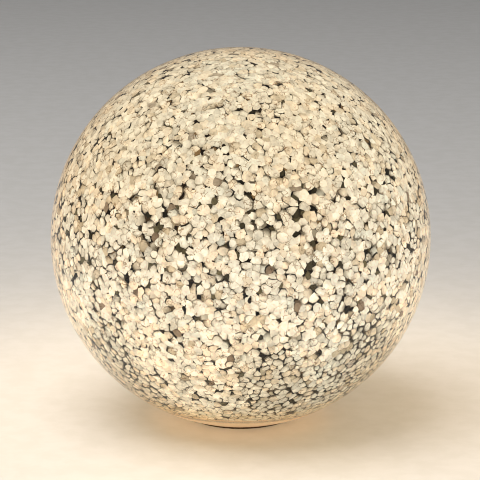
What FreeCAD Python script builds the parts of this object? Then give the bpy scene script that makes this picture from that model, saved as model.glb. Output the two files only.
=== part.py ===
# A glass globe light: a closed ball of clear glass with a lining of granules on its inner face, bonded to
# a small dish on which it stands. The dish carries an upright tube with a cartridge of three cells, and
# the board with the lamps under an opal dome on top of it. A screw cap closes the tube from below, and a
# slide switch sits in a well at the back of the dish.
#
# Millimetres. +Z is up, the ball's axis is the Z axis, and the origin is the middle of the circle on
# which the foot ring stands. The switch is at +Y, the side that is seen last.

import FreeCAD, Part
import Sketcher
import math
import os
import re
from FreeCAD import Placement, Rotation, Vector

doc = FreeCAD.newDocument("GlobeLight")
sizes = doc.addObject("Spreadsheet::Sheet", "sizes")

# The driving dimensions
DIMENSIONS = [
    ("globe_radius", "75", "outer radius of the glass ball"),
    ("globe_wall", "1.2", "thickness of the glass"),
    ("globe_sink", "2.2", "how far below the table the full ball would reach"),
    ("mouth_radius", "36", "radius of the ball's open mouth"),
    ("lining_gap", "0.1", "glue between the glass and the granules"),
    ("lining_thickness", "2.4", "thickness of the layer of granules"),
    ("void_radius", "1.7", "mouth radius of a gap where a granule is missing"),
    ("void_depth", "1", "depth of such a gap"),
    ("void_spacing", "11", "distance from one such gap to the next"),
    ("seat_gap", "0.1", "play between round pieces that are fastened together"),
    ("thread_gap", "0.1", "play of the cap's thread in the neck"),
    ("slide_gap", "0.3", "play beside pieces that move"),
    ("overrun", "1", "how far a cut runs past what it cuts"),
    ("dish_wall", "2.2", "wall of the dish"),
    ("dish_bottom", "0.9", "height of the dish's flat underside"),
    ("seal_width", "1.4", "width of the bead between the glass and the dish"),
    ("seal_recess", "0.25", "how far the bead lies below the ball's surface"),
    ("spigot_wall", "2.2", "wall of the dish's upright rim inside the mouth"),
    ("spigot_rise", "3.7", "how far that rim stands above the bead"),
    ("hub_width", "2.4", "width of the thick middle of the dish round the neck"),
    ("hub_rise", "2.4", "height of the thick middle above the dish's floor"),
    ("neck_step", "1", "how much wider the neck is than the tube"),
    ("neck_wall", "2.4", "wall of the neck"),
    ("neck_rise", "2.7", "how far the neck stands above the cap's plug"),
    ("gasket_thickness", "0.8", "thickness of the ring under the tube's flange"),
    ("gasket_width", "2", "width of that ring"),
    ("foot_lip", "1.3", "wall between the cap's recess and the foot ring"),
    ("foot_width", "2.7", "width of the foot ring"),
    ("foot_bite", "0.8", "depth of the foot ring's groove"),
    ("boss_radius", "3", "radius of a screw boss"),
    ("boss_bite", "0.2", "how far a screw boss reaches into the neck"),
    ("tube_screw_radius", "1.15", "radius of the tube's screws"),
    ("tube_screw_length", "9", "length of those screws under the head"),
    ("tube_screw_head", "2.2", "radius of their heads"),
    ("tube_screw_head_height", "1.6", "height of their heads"),
    ("cap_ledge", "1.6", "width of the cap's face round the neck's bore"),
    ("cap_flange_thickness", "1.9", "thickness of the cap's face at its edge"),
    ("cap_recess", "0.4", "how far the cap's face lies above the dish's underside"),
    ("cap_plug_length", "5.3", "length of the cap's plug above its face"),
    ("cap_plug_wall", "2.2", "wall of the plug"),
    ("cap_floor", "3.1", "thickness of the cap's middle"),
    ("coin_slot_length", "20", "length of the slot for a coin"),
    ("coin_slot_width", "2.4", "width of that slot"),
    ("coin_slot_depth", "1.6", "depth of that slot"),
    ("ring_groove_height", "1.6", "height of the sealing ring's groove"),
    ("ring_groove_rise", "1.2", "height of that groove above the cap's face"),
    ("ring_section", "0.6", "radius of the sealing ring's section"),
    ("pad_play", "0.7", "play round the foam pad in the cap"),
    ("pad_rise", "1.7", "how far the foam pad stands above the cap's plug"),
    ("cell_radius", "5.25", "radius of a cell"),
    ("cell_length", "44.5", "length of a cell with its nub"),
    ("cell_edge", "0.5", "rounding at the ends of a cell"),
    ("nub_radius", "1.9", "radius of a cell's nub"),
    ("nub_height", "0.9", "height of a cell's nub"),
    ("cell_gap", "0.4", "gap between two cells"),
    ("spring_height", "3.6", "length of a cell's spring when loaded"),
    ("spring_wire", "0.25", "radius of the springs' wire"),
    ("spring_foot_radius", "3.3", "radius of the wide end of a cell's spring"),
    ("spring_tip_radius", "1.7", "radius of the narrow end"),
    ("plate_thickness", "0.4", "thickness of the contact plates"),
    ("plate_radius", "3.6", "radius of the contact plates under and over the cells"),
    ("bar_width", "2.8", "width of the bars that join those plates"),
    ("holder_rim", "1.65", "width of the cartridge's discs outside the cells"),
    ("holder_disc", "1.6", "thickness of the cartridge's discs"),
    ("rail_radius", "1.9", "radius of the cartridge's rails"),
    ("rail_inset", "0.3", "how far the rails lie inside the discs' edge"),
    ("holder_screw_radius", "0.7", "radius of the cartridge's screws"),
    ("holder_screw_length", "5", "length of those screws under the head"),
    ("holder_screw_head", "1.3", "radius of their heads"),
    ("holder_screw_sink", "0.8", "depth of the heads in the top disc"),
    ("button_radius", "2.4", "radius of the cartridge's middle contact"),
    ("button_height", "1", "height of that contact above the disc"),
    ("button_stem_radius", "1.1", "radius of that contact's rivet"),
    ("contact_ring_gap", "5.2", "distance between the cartridge's two contacts"),
    ("contact_ring_width", "1.6", "width of the ring contact"),
    ("strip_width", "3", "width of the strip along the cartridge"),
    ("strip_edge", "0.4", "distance of the strip inside the discs' edge"),
    ("holder_play", "0.4", "play of the cartridge in its tube"),
    ("tube_wall", "1.4", "wall of the tube"),
    ("tube_flange", "2", "thickness of the tube's flange and ears"),
    ("tube_flange_width", "2.2", "width of the flange outside the tube"),
    ("contact_space", "2.4", "space between the cartridge and the tube's end wall"),
    ("tray_thickness", "1.6", "thickness of the tray on the tube"),
    ("tray_lip", "1.4", "width of the tray outside the dome"),
    ("post_height", "1", "height of the posts under the board"),
    ("post_radius", "2.2", "radius of those posts"),
    ("board_thickness", "1.2", "thickness of the board"),
    ("board_screw_gap", "0.4", "distance between the lamps and the heads of the board's screws"),
    ("board_screw_radius", "0.95", "radius of the board's screws"),
    ("board_screw_length", "3.4", "length of those screws under the head"),
    ("board_screw_head", "1.8", "radius of their heads"),
    ("board_screw_head_height", "1.1", "height of their heads"),
    ("contact_spring_radius", "1.6", "radius of the board's contact springs"),
    ("contact_hole_gap", "0.7", "play round those springs in the tube's end wall"),
    ("lamp_circle", "14.4", "radius of the circle of lamps"),
    ("lamp_length", "3.4", "length of a lamp"),
    ("lamp_width", "2.8", "width of a lamp"),
    ("lamp_height", "1.3", "height of a lamp"),
    ("lamp_count", "8", "number of lamps"),
    ("chip_length", "5", "length of the driver chip"),
    ("chip_width", "4", "width of the driver chip"),
    ("chip_height", "1.6", "height of the driver chip"),
    ("chip_offset", "5.6", "distance of the chip from the axis"),
    ("resistor_length", "3.2", "length of a resistor"),
    ("resistor_width", "1.6", "width of a resistor"),
    ("resistor_height", "0.7", "height of a resistor"),
    ("resistor_offset", "6.4", "distance of the resistors from the axis"),
    ("capacitor_radius", "2", "radius of the capacitor"),
    ("capacitor_height", "5.4", "height of the capacitor"),
    ("capacitor_offset", "5.6", "distance of the capacitor from the axis"),
    ("dome_wall", "1.5", "wall of the opal dome"),
    ("dome_skirt", "7.5", "height of the dome's straight part"),
    ("switch_offset", "1.9", "distance of the switch's block from the foot ring"),
    ("well_end_room", "2.3", "room for a finger at the ends of the knob's travel"),
    ("well_side_room", "1.1", "room beside the knob"),
    ("well_depth", "2.2", "depth of the well at its middle"),
    ("well_end_wall", "2.6", "wall at the ends of the well"),
    ("well_side_wall", "1.6", "wall along the sides of the well"),
    ("well_roof", "2", "thickness of the well's inner end"),
    ("knob_travel", "4", "travel of the knob from its first to its last position"),
    ("knob_length", "4.4", "length of the knob's head"),
    ("knob_width", "4.8", "width of the knob's head"),
    ("knob_height", "2.1", "height of the knob's head"),
    ("stem_length", "2", "length of the knob's stem"),
    ("stem_width", "1.6", "width of the knob's stem"),
    ("stem_rise", "2", "how far the stem reaches into the switch"),
    ("switch_end_gap", "0.4", "distance between the switch's case and the heads of its screws"),
    ("switch_width", "6", "width of the switch's case"),
    ("switch_height", "4.8", "height of the switch's case"),
    ("switch_ear_margin", "1.2", "length of the switch's ears past their screws"),
    ("switch_ear_width", "3.6", "width of the switch's ears"),
    ("switch_ear_thickness", "0.8", "thickness of the switch's ears"),
    ("switch_screw_radius", "0.7", "radius of the switch's screws"),
    ("switch_screw_length", "2.4", "length of those screws under the head"),
    ("switch_screw_head", "1.2", "radius of their heads"),
    ("switch_screw_head_height", "0.8", "height of their heads"),
    ("terminal_spacing", "3", "distance between the switch's terminals"),
    ("terminal_length", "1", "length of a terminal's section"),
    ("terminal_width", "0.5", "width of a terminal's section"),
    ("terminal_height", "3", "height of a terminal"),
    ("lead_radius", "0.6", "radius of an insulated lead"),
    ("lead_rise", "7", "height of a lead's first straight stretch"),
    ("lead_slope", "12", "height over which a lead leans in to the tube"),
    ("lead_gap", "0.6", "distance of the leads from the tube's flange"),
    ("lead_spacing", "3", "distance between the leads beside the tube"),
    ("lead_slot_gap", "0.6", "play round the leads in the tray"),
]
for row, (alias, number, meaning) in enumerate(DIMENSIONS, start=1):
    sizes.set(f"A{row}", alias)
    sizes.set(f"B{row}", number)
    sizes.set(f"C{row}", meaning)
    sizes.setAlias(f"B{row}", alias)
doc.recompute()

# What follows from the driving dimensions, in words that are worked out wherever they are used
DERIVED = {
    "centre_height": "globe_radius - globe_sink",
    "floor": "dish_bottom + dish_wall",
    "spigot_radius": "mouth_radius - seal_width",
    "lining_outer": "globe_radius - globe_wall - lining_gap",
    "lining_inner": "lining_outer - lining_thickness",
    "recess_ceiling": "dish_bottom + cap_recess + cap_flange_thickness + seat_gap",
    "spigot_inner": "spigot_radius - spigot_wall",
    "seal_top": "centre_height - sqrt((globe_radius - globe_wall)^2 - mouth_radius^2)",
    "spigot_top": "seal_top + spigot_rise",
    "neck_bore": "tube_bore + neck_step",
    "neck_top": "plug_top + neck_rise",
    "cap_flange_radius": "neck_bore + cap_ledge",
    "recess_radius": "cap_flange_radius + slide_gap",
    "hub_radius": "neck_outer + hub_width",
    "hub_top": "floor + hub_rise",
    "neck_outer": "neck_bore + neck_wall",
    "boss_top": "neck_top + gasket_thickness",
    "boss_circle": "neck_outer + boss_radius - boss_bite",
    "foot_inner": "recess_radius + foot_lip",
    "foot_outer": "foot_inner + foot_width",
    "groove_roof": "dish_bottom + foot_bite",
    "cap_face": "dish_bottom + cap_recess",
    "plug_base": "cap_face + cap_flange_thickness",
    "plug_top": "plug_base + cap_plug_length",
    "plug_radius": "neck_bore - thread_gap",
    "ring_middle": "plug_radius - ring_section",
    "groove_floor": "ring_middle - ring_section - seat_gap",
    "groove_low": "plug_base + ring_groove_rise",
    "groove_high": "groove_low + ring_groove_height",
    "cup_radius": "plug_radius - cap_plug_wall",
    "cup_floor": "cap_face + cap_floor",
    "pad_radius": "cup_radius - pad_play",
    "cell_circle": "(2 * cell_radius + cell_gap) / sqrt(3)",
    "holder_radius": "cell_circle + cell_radius + holder_rim",
    "holder_base": "plug_top + pad_rise",
    "plate_level": "holder_base + holder_disc",
    "cell_base": "plate_level + plate_thickness + spring_height",
    "cell_top": "cell_base + cell_length",
    "holder_lid": "cell_top + plate_thickness",
    "holder_top_level": "holder_lid + holder_disc",
    "rail_circle": "holder_radius - rail_inset - rail_radius",
    "tube_bore": "holder_radius + holder_play",
    "tube_outer": "tube_bore + tube_wall",
    "tube_ceiling": "holder_top_level + contact_space",
    "tray_top": "tube_ceiling + tray_thickness",
    "board_level": "tray_top + post_height",
    "board_top": "board_level + board_thickness",
    "board_screw_circle": "lamp_circle + lamp_width / 2 + board_screw_gap + board_screw_head",
    "board_radius": "board_screw_circle + post_radius + seat_gap",
    "dome_radius": "board_radius + slide_gap + dome_wall",
    "tray_radius": "dome_radius + tray_lip",
    "contact_ring_inner": "button_radius + contact_ring_gap",
    "contact_ring_outer": "contact_ring_inner + contact_ring_width",
    "contact_circle": "contact_ring_inner + contact_ring_width / 2",
    "contact_hole": "contact_spring_radius + spring_wire + contact_hole_gap",
    "strip_outer": "holder_radius - strip_edge",
    "strip_inner": "strip_outer - plate_thickness",
    "tongue_end": "cell_circle + plate_radius + plate_thickness",
    "well_length": "knob_length + knob_travel + 2 * well_end_room",
    "well_width": "knob_width + 2 * well_side_room",
    "switch_reach": "foot_outer + switch_offset + block_width / 2",
    "well_ceiling": "centre_height - sqrt(globe_radius^2 - switch_reach^2) + well_depth",
    "block_top": "well_ceiling + well_roof",
    "block_length": "well_length + 2 * well_end_wall",
    "block_width": "well_width + 2 * well_side_wall",
    "slot_length": "stem_length + knob_travel + 2 * slide_gap",
    "slot_width": "stem_width + 2 * slide_gap",
    "knob_top": "well_ceiling - slide_gap",
    "switch_screw_spacing": "well_length + well_end_wall",
    "switch_length": "switch_screw_spacing - 2 * (switch_screw_head + switch_end_gap)",
    "switch_ear_length": "switch_screw_spacing + 2 * switch_ear_margin",
    "switch_top": "block_top + switch_height",
    "terminal_top": "switch_top + terminal_height",
    "lead_reach": "tube_outer + tube_flange_width + lead_gap + lead_radius",
}
ALIASES = {alias for alias, number, meaning in DIMENSIONS}


def bound(words):
    """Turn plain words into an expression on the sheet's cells."""
    def swap(match):
        word = match.group(0)
        if word in ALIASES:
            return f"sizes.{word}"
        if word in DERIVED:
            return f"({bound(DERIVED[word])})"
        return word

    return re.sub(r"[a-z_]+", swap, words)


def value(words):
    """The number that the words come to."""
    return float(sizes.evalExpression(bound(words)))


def on_ball(ball_radius, reach):
    """Height of a ball's lower half, about the globe's centre, at a distance from the axis."""
    return f"(centre_height - sqrt(({ball_radius})^2 - ({reach})^2))"


def at_height(ball_radius, height):
    """Distance from the axis of the same surface at a height."""
    return f"sqrt(({ball_radius})^2 - (centre_height - ({height}))^2)"


# Bodies, sketches and features
CUTS = []
TOOLS = []
NOTHING = 1e-9


def origin_of(body, role):
    return next(part for part in body.Origin.OriginFeatures if part.Role == role)


def new_body(label):
    body = doc.addObject("PartDesign::Body", label)
    body.Label = label
    body.AllowCompound = True
    return body


def new_sketch(body, role="XY_Plane", height="0"):
    sketch = body.newObject("Sketcher::SketchObject", f"{body.Label}_sketch")
    sketch.AttachmentSupport = [(origin_of(body, role), "")]
    sketch.MapMode = "FlatFace"
    if height != "0":
        sketch.setExpression(".AttachmentOffset.Base.z", bound(height))
    return sketch


def hold(sketch, geometry, point, across, up):
    """Hold a point of the sketch at its two distances from the sketch's origin."""
    for kind, axis, words in (("DistanceX", -2, across), ("DistanceY", -1, up)):
        distance = value(words)
        if abs(distance) < NOTHING:
            sketch.addConstraint(Sketcher.Constraint("PointOnObject", geometry, point, axis))
        elif distance > 0:
            index = sketch.addConstraint(Sketcher.Constraint(kind, -1, 1, geometry, point, distance))
            sketch.setExpression(f"Constraints[{index}]", bound(words))
        else:
            index = sketch.addConstraint(Sketcher.Constraint(kind, geometry, point, -1, 1, -distance))
            sketch.setExpression(f"Constraints[{index}]", bound(f"-({words})"))


def draw_outline(sketch, corners):
    """A closed outline. A corner is (across, up), or (across, up, centre across, centre up) where an
    arc about that centre starts."""
    spots = [Vector(value(corner[0]), value(corner[1]), 0) for corner in corners]
    ends = []
    for number, corner in enumerate(corners):
        start = spots[number]
        stop = spots[(number + 1) % len(spots)]
        if len(corner) == 2:
            edge = sketch.addGeometry(Part.LineSegment(start, stop), False)
            ends.append((edge, 1, 2))
            continue
        centre = Vector(value(corner[2]), value(corner[3]), 0)
        first, last = start - centre, stop - centre
        forward = first.cross(last).z > 0
        if not forward:
            first, last = last, first
        circle = Part.Circle(centre, Vector(0, 0, 1), (start - centre).Length)
        sweep = [math.atan2(first.y, first.x), math.atan2(last.y, last.x)]
        edge = sketch.addGeometry(Part.ArcOfCircle(circle, *sweep), False)
        ends.append((edge, 1, 2) if forward else (edge, 2, 1))
    for number, corner in enumerate(corners):
        edge, start, stop = ends[number]
        before, before_start, before_stop = ends[number - 1]
        sketch.addConstraint(Sketcher.Constraint("Coincident", before, before_stop, edge, start))
        hold(sketch, edge, start, corner[0], corner[1])
        if len(corner) == 4 and abs(value(corner[2])) < NOTHING:
            sketch.addConstraint(Sketcher.Constraint("PointOnObject", edge, 3, -2))
        elif len(corner) == 4:
            index = sketch.addConstraint(
                Sketcher.Constraint("DistanceX", -1, 1, edge, 3, value(corner[2]))
            )
            sketch.setExpression(f"Constraints[{index}]", bound(corner[2]))


def draw_circle(sketch, across, up, radius):
    spot = Vector(value(across), value(up), 0)
    circle = sketch.addGeometry(Part.Circle(spot, Vector(0, 0, 1), value(radius)), False)
    index = sketch.addConstraint(Sketcher.Constraint("Radius", circle, value(radius)))
    sketch.setExpression(f"Constraints[{index}]", bound(radius))
    hold(sketch, circle, 3, across, up)


def draw_rectangle(sketch, across, up, length, width):
    """A rectangle about a middle point."""
    left, right = f"{across} - ({length}) / 2", f"{across} + ({length}) / 2"
    low, high = f"{up} - ({width}) / 2", f"{up} + ({width}) / 2"
    draw_outline(sketch, [(left, low), (right, low), (right, high), (left, high)])


def add_pad(body, height, length, shapes):
    """Raise the shapes from a height by a length. A shape is a drawing function and its words."""
    sketch = new_sketch(body, "XY_Plane", height)
    for draw, *words in shapes:
        draw(sketch, *words)
    pad = body.newObject("PartDesign::Pad", f"{body.Label}_pad")
    pad.Profile = sketch
    pad.setExpression("Length", bound(length))
    sketch.Visibility = False
    return pad


def add_pocket(body, height, depth, shapes):
    """Cut the shapes downwards from a height by a depth."""
    sketch = new_sketch(body, "XY_Plane", height)
    for draw, *words in shapes:
        draw(sketch, *words)
    before = body.Tip
    pocket = body.newObject("PartDesign::Pocket", f"{body.Label}_pocket")
    pocket.Profile = sketch
    pocket.setExpression("Length", bound(depth))
    CUTS.append((before, pocket))
    return pocket


def add_turn(body, corners, kind="Revolution"):
    """Turn an outline, drawn in distances from the axis and heights, about the Z axis."""
    sketch = new_sketch(body, "XZ_Plane")
    draw_outline(sketch, corners)
    before = body.Tip
    turn = body.newObject(f"PartDesign::{kind}", f"{body.Label}_turn")
    turn.Profile = sketch
    turn.ReferenceAxis = (sketch, ["V_Axis"])
    turn.Angle = 360
    if kind == "Groove":
        CUTS.append((before, turn))
    return turn


def add_copies(body, features, count):
    """Repeat features about the Z axis, evenly spaced."""
    pattern = body.newObject("PartDesign::PolarPattern", f"{body.Label}_copies")
    pattern.Originals = features
    pattern.Axis = (origin_of(body, "Z_Axis"), [""])
    pattern.Angle = 360
    if isinstance(count, str):
        pattern.setExpression("Occurrences", bound(count))
    else:
        pattern.Occurrences = count
    body.Tip = pattern
    return pattern


def turned(label, corners):
    body = new_body(label)
    add_turn(body, corners)
    return body


def flat_ring(label, inner, outer, low, high):
    return turned(label, [(inner, low), (outer, low), (outer, high), (inner, high)])


def place(body, across="0", along="0", up="0", turn=0.0, axis=Vector(0, 0, 1)):
    """Set a body down at a place, turned by an angle in degrees."""
    body.Placement = Placement(Vector(0, 0, 0), Rotation(axis, turn))
    for letter, words in (("x", across), ("y", along), ("z", up)):
        if words != "0":
            body.setExpression(f".Placement.Base.{letter}", bound(words))
    return body


# Three ears, bosses, rails and cells are spaced evenly, and the cells stand between the rails
COPIES = 3
FIRST_BOSS = 30
FIRST_CELL = 30
FIRST_RAIL = 90
RING_CONTACT = -90
HALF_TURN = 180
FULL_TURN = 360


def polar(reach, angle):
    """Words for the two coordinates of a place at a distance from the axis and an angle in degrees."""
    return f"({reach}) * cos({angle} deg)", f"({reach}) * sin({angle} deg)"


def make_globe():
    body = new_body("glass_globe")
    inner = "globe_radius - globe_wall"
    add_turn(body, [
        ("mouth_radius", on_ball("globe_radius", "mouth_radius"), "0", "centre_height"),
        ("globe_radius", "centre_height", "0", "centre_height"),
        ("0", "centre_height + globe_radius"),
        ("0", f"centre_height + {inner}", "0", "centre_height"),
        (inner, "centre_height", "0", "centre_height"),
        ("mouth_radius", on_ball(inner, "mouth_radius")),
    ])


# Gaps where a granule is missing: their radii as shares of the named one, how far they stray from an
# even spacing, how fast that straying varies, and how high above the ball's centre they begin
VOID_SIZE_SHARES = (1.0, 0.8, 1.15, 0.9, 0.7)
STRAY_SHARES = (0.3, 0.2)
STRAY_RATES = (3.7, 5.3)
VOID_TOP_SHARE = 0.45
GOLDEN_ANGLE = math.pi * (3 - math.sqrt(5))


def void_directions():
    """Directions from the ball's centre to the gaps, on a golden spiral that strays a little."""
    outer = value("lining_outer")
    spacing = value("void_spacing") / outer
    bottom = -math.sqrt(1 - (value("mouth_radius + 3 * void_radius") / outer) ** 2)
    band = VOID_TOP_SHARE - bottom
    count = int(2 * math.pi * band / spacing**2)
    for number in range(count):
        stray_along, stray_up = (
            share * spacing * math.sin(rate * number) for share, rate in zip(STRAY_SHARES, STRAY_RATES))
        height = VOID_TOP_SHARE - band * (number + 0.5) / count
        across = math.sqrt(1 - height**2)
        turn = number * GOLDEN_ANGLE + stray_along / across
        lift = math.asin(height) + stray_up
        yield Vector(math.cos(lift) * math.cos(turn), math.cos(lift) * math.sin(turn), math.sin(lift))


def make_voids():
    """A ball for each gap. It dips into the lining from outside, as deep as the gap."""
    centre = Vector(0, 0, value("centre_height"))
    depth = value("void_depth")
    balls = []
    for number, direction in enumerate(void_directions()):
        mouth = value("void_radius") * VOID_SIZE_SHARES[number % len(VOID_SIZE_SHARES)]
        radius = (mouth**2 + depth**2) / (2 * depth)
        ball = Part.makeSphere(radius)
        reach = value("lining_outer") - depth + radius
        ball.Placement = Placement(centre + direction * reach, Rotation(Vector(1, 0, 0), direction))
        balls.append(ball)
    voids = doc.addObject("Part::Feature", "granule_voids")
    voids.Label = "granule_voids"
    voids.Shape = Part.makeCompound(balls)
    voids.Placement = Placement()
    print(f"granule_voids: {len(balls)} gaps")
    return voids


def make_lining():
    blank = turned("granule_blank", [
        ("mouth_radius", on_ball("lining_outer", "mouth_radius"), "0", "centre_height"),
        ("lining_outer", "centre_height", "0", "centre_height"),
        ("0", "centre_height + lining_outer"),
        ("0", "centre_height + lining_inner", "0", "centre_height"),
        ("lining_inner", "centre_height", "0", "centre_height"),
        ("mouth_radius", on_ball("lining_inner", "mouth_radius")),
    ])
    voids = make_voids()
    TOOLS.extend([blank, voids])
    lining = doc.addObject("Part::Cut", "granule_lining")
    lining.Label = "granule_lining"
    lining.Base = blank
    lining.Tool = voids
    lining.Placement = Placement()
    CUTS.append((blank, lining))


def make_dish():
    body = new_body("base_dish")
    inside = "globe_radius - dish_wall"
    add_turn(body, [
        ("recess_radius", "dish_bottom"),
        (at_height("globe_radius", "dish_bottom"), "dish_bottom", "0", "centre_height"),
        ("spigot_radius", on_ball("globe_radius", "spigot_radius")),
        ("spigot_radius", "spigot_top"),
        ("spigot_inner", "spigot_top"),
        ("spigot_inner", on_ball(inside, "spigot_inner"), "0", "centre_height"),
        (at_height(inside, "floor"), "floor"),
        ("hub_radius", "floor"),
        ("hub_radius", "hub_top"),
        ("neck_outer", "hub_top"),
        ("neck_outer", "neck_top"),
        ("neck_bore", "neck_top"),
        ("neck_bore", "recess_ceiling"),
        ("recess_radius", "recess_ceiling"),
    ])
    boss = polar("boss_circle", FIRST_BOSS)
    boss_root = "(groove_roof + floor) / 2"
    posts = add_pad(body, boss_root, f"boss_top - {boss_root}", [(draw_circle, *boss, "boss_radius")])
    add_copies(body, [posts], COPIES)
    add_pad(body, "floor", "block_top - floor", [
        (draw_rectangle, "0", "switch_reach", "block_length", "block_width"),
    ])
    past_edge = "spigot_radius + seal_width / 2"
    add_turn(body, [
        ("0", "dish_bottom - dish_wall"),
        (past_edge, "dish_bottom - dish_wall"),
        (past_edge, on_ball("globe_radius", past_edge), "0", "centre_height"),
        (at_height("globe_radius", "dish_bottom"), "dish_bottom"),
        ("0", "dish_bottom"),
    ], "Groove")
    add_turn(body, [
        ("foot_inner - seat_gap", "dish_bottom - overrun"),
        ("foot_outer + seat_gap", "dish_bottom - overrun"),
        ("foot_outer + seat_gap", "groove_roof"),
        ("foot_inner - seat_gap", "groove_roof"),
    ], "Groove")
    add_pocket(body, "well_ceiling", "well_ceiling + overrun", [
        (draw_rectangle, "0", "switch_reach", "well_length", "well_width"),
    ])
    add_pocket(body, "block_top + overrun", "well_roof + 2 * overrun", [
        (draw_rectangle, "0", "switch_reach", "slot_length", "slot_width"),
    ])
    add_pocket(body, "block_top + overrun", "switch_screw_length - switch_ear_thickness + 2 * overrun", [
        (draw_circle, "switch_screw_spacing / 2", "switch_reach", "switch_screw_radius + seat_gap"),
        (draw_circle, "-switch_screw_spacing / 2", "switch_reach", "switch_screw_radius + seat_gap"),
    ])
    hole = add_pocket(body, "boss_top + overrun", "tube_screw_length - tube_flange + 2 * overrun", [
        (draw_circle, *boss, "tube_screw_radius + seat_gap"),
    ])
    add_copies(body, [hole], COPIES)


def make_seal():
    inner, outer = "spigot_radius + seat_gap", "mouth_radius - seat_gap"
    turned("rim_seal", [
        (inner, f"{on_ball('globe_radius', inner)} + seal_recess"),
        (outer, f"{on_ball('globe_radius', outer)} + seal_recess"),
        (outer, "seal_top"),
        (inner, "seal_top"),
    ])


def make_cap():
    body = new_body("battery_cap")
    add_turn(body, [
        ("0", "cap_face"),
        ("cap_flange_radius", "cap_face"),
        ("cap_flange_radius", "plug_base"),
        ("plug_radius", "plug_base"),
        ("plug_radius", "groove_low"),
        ("groove_floor", "groove_low"),
        ("groove_floor", "groove_high"),
        ("plug_radius", "groove_high"),
        ("plug_radius", "plug_top"),
        ("cup_radius", "plug_top"),
        ("cup_radius", "cup_floor"),
        ("0", "cup_floor"),
    ])
    add_pocket(body, "cap_face + coin_slot_depth", "coin_slot_depth + overrun", [
        (draw_rectangle, "0", "0", "coin_slot_length", "coin_slot_width"),
    ])


def make_cap_ring():
    ring = doc.addObject("Part::Torus", "cap_o_ring")
    ring.Label = "cap_o_ring"
    ring.setExpression("Radius1", bound("ring_middle"))
    ring.setExpression("Radius2", bound("ring_section"))
    ring.setExpression(".Placement.Base.z", bound("(groove_low + groove_high) / 2"))


def make_pad():
    pad = doc.addObject("Part::Cylinder", "cap_pad")
    pad.Label = "cap_pad"
    pad.setExpression("Radius", bound("pad_radius"))
    pad.setExpression("Height", bound("holder_base - seat_gap - cup_floor"))
    pad.setExpression(".Placement.Base.z", bound("cup_floor"))


def make_tube():
    body = new_body("battery_tube")
    flange_top = "boss_top + tube_flange"
    add_turn(body, [
        ("tube_bore", "boss_top"),
        ("tube_outer + tube_flange_width", "boss_top"),
        ("tube_outer + tube_flange_width", flange_top),
        ("tube_outer", flange_top),
        ("tube_outer", "tube_ceiling"),
        ("tray_radius", "tube_ceiling"),
        ("tray_radius", "tray_top"),
        ("0", "tray_top"),
        ("0", "tube_ceiling"),
        ("tube_bore", "tube_ceiling"),
    ])
    boss = polar("boss_circle", FIRST_BOSS)
    ear = add_pad(body, "boss_top", "tube_flange", [(draw_circle, *boss, "boss_radius")])
    add_copies(body, [ear], COPIES)
    post = polar("board_screw_circle", FIRST_BOSS)
    posts = add_pad(body, "tray_top - tray_thickness / 2", "post_height + tray_thickness / 2", [
        (draw_circle, *post, "post_radius"),
    ])
    add_copies(body, [posts], COPIES)
    hole = add_pocket(body, f"{flange_top} + overrun", "tube_flange + 2 * overrun", [
        (draw_circle, *boss, "tube_screw_radius + seat_gap"),
    ])
    add_copies(body, [hole], COPIES)
    post_hole = add_pocket(body, "board_level + overrun", "post_height + tray_thickness + 2 * overrun", [
        (draw_circle, *post, "board_screw_radius + seat_gap"),
    ])
    add_copies(body, [post_hole], COPIES)
    contact = polar("contact_circle", RING_CONTACT)
    add_pocket(body, "tray_top + overrun", "tray_thickness + 2 * overrun", [
        (draw_circle, "0", "0", "contact_hole"),
        (draw_circle, *contact, "contact_hole"),
    ])
    add_pocket(body, "tray_top + overrun", "tray_thickness + 2 * overrun", [
        (draw_rectangle, "0", "lead_reach", "lead_spacing + 2 * (lead_radius + lead_slot_gap)",
         "2 * (lead_radius + lead_slot_gap)"),
    ])


def make_screws(label, circle, first, seat, radius, length, head, head_height):
    """Three screws round the Z axis, whose heads stand on a seat."""
    body = new_body(label)
    spot = polar(circle, first)
    shank = add_pad(body, f"{seat} - ({length})", length, [(draw_circle, *spot, radius)])
    cap = add_pad(body, seat, head_height, [(draw_circle, *spot, head)])
    add_copies(body, [shank, cap], COPIES)


def make_holder():
    frame = new_body("holder_frame")
    add_pad(frame, "holder_base", "holder_disc", [(draw_circle, "0", "0", "holder_radius")])
    rail = polar("rail_circle", FIRST_RAIL)
    rails = add_pad(frame, "holder_base", "holder_lid - holder_base", [(draw_circle, *rail, "rail_radius")])
    add_copies(frame, [rails], COPIES)
    thread = add_pocket(frame, "holder_lid + overrun", "holder_screw_length - holder_disc + 2 * overrun", [
        (draw_circle, *rail, "holder_screw_radius + seat_gap"),
    ])
    add_copies(frame, [thread], COPIES)

    lid = new_body("holder_top")
    add_pad(lid, "holder_lid", "holder_disc", [(draw_circle, "0", "0", "holder_radius")])
    add_pocket(lid, "holder_top_level + overrun", "holder_disc + 2 * overrun", [
        (draw_circle, "0", "0", "button_stem_radius + seat_gap"),
        (draw_rectangle, "0", "-holder_radius", "strip_width + 2 * seat_gap",
         "2 * (holder_radius - strip_inner + seat_gap)"),
    ])
    sink = add_pocket(lid, "holder_top_level + overrun", "holder_screw_sink + overrun", [
        (draw_circle, *rail, "holder_screw_head + seat_gap"),
    ])
    add_copies(lid, [sink], COPIES)
    hole = add_pocket(lid, "holder_top_level + overrun", "holder_disc + 2 * overrun", [
        (draw_circle, *rail, "holder_screw_radius + seat_gap"),
    ])
    add_copies(lid, [hole], COPIES)
    make_screws("holder_screws", "rail_circle", FIRST_RAIL, "holder_top_level - holder_screw_sink",
                "holder_screw_radius", "holder_screw_length", "holder_screw_head", "holder_screw_sink")


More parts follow.
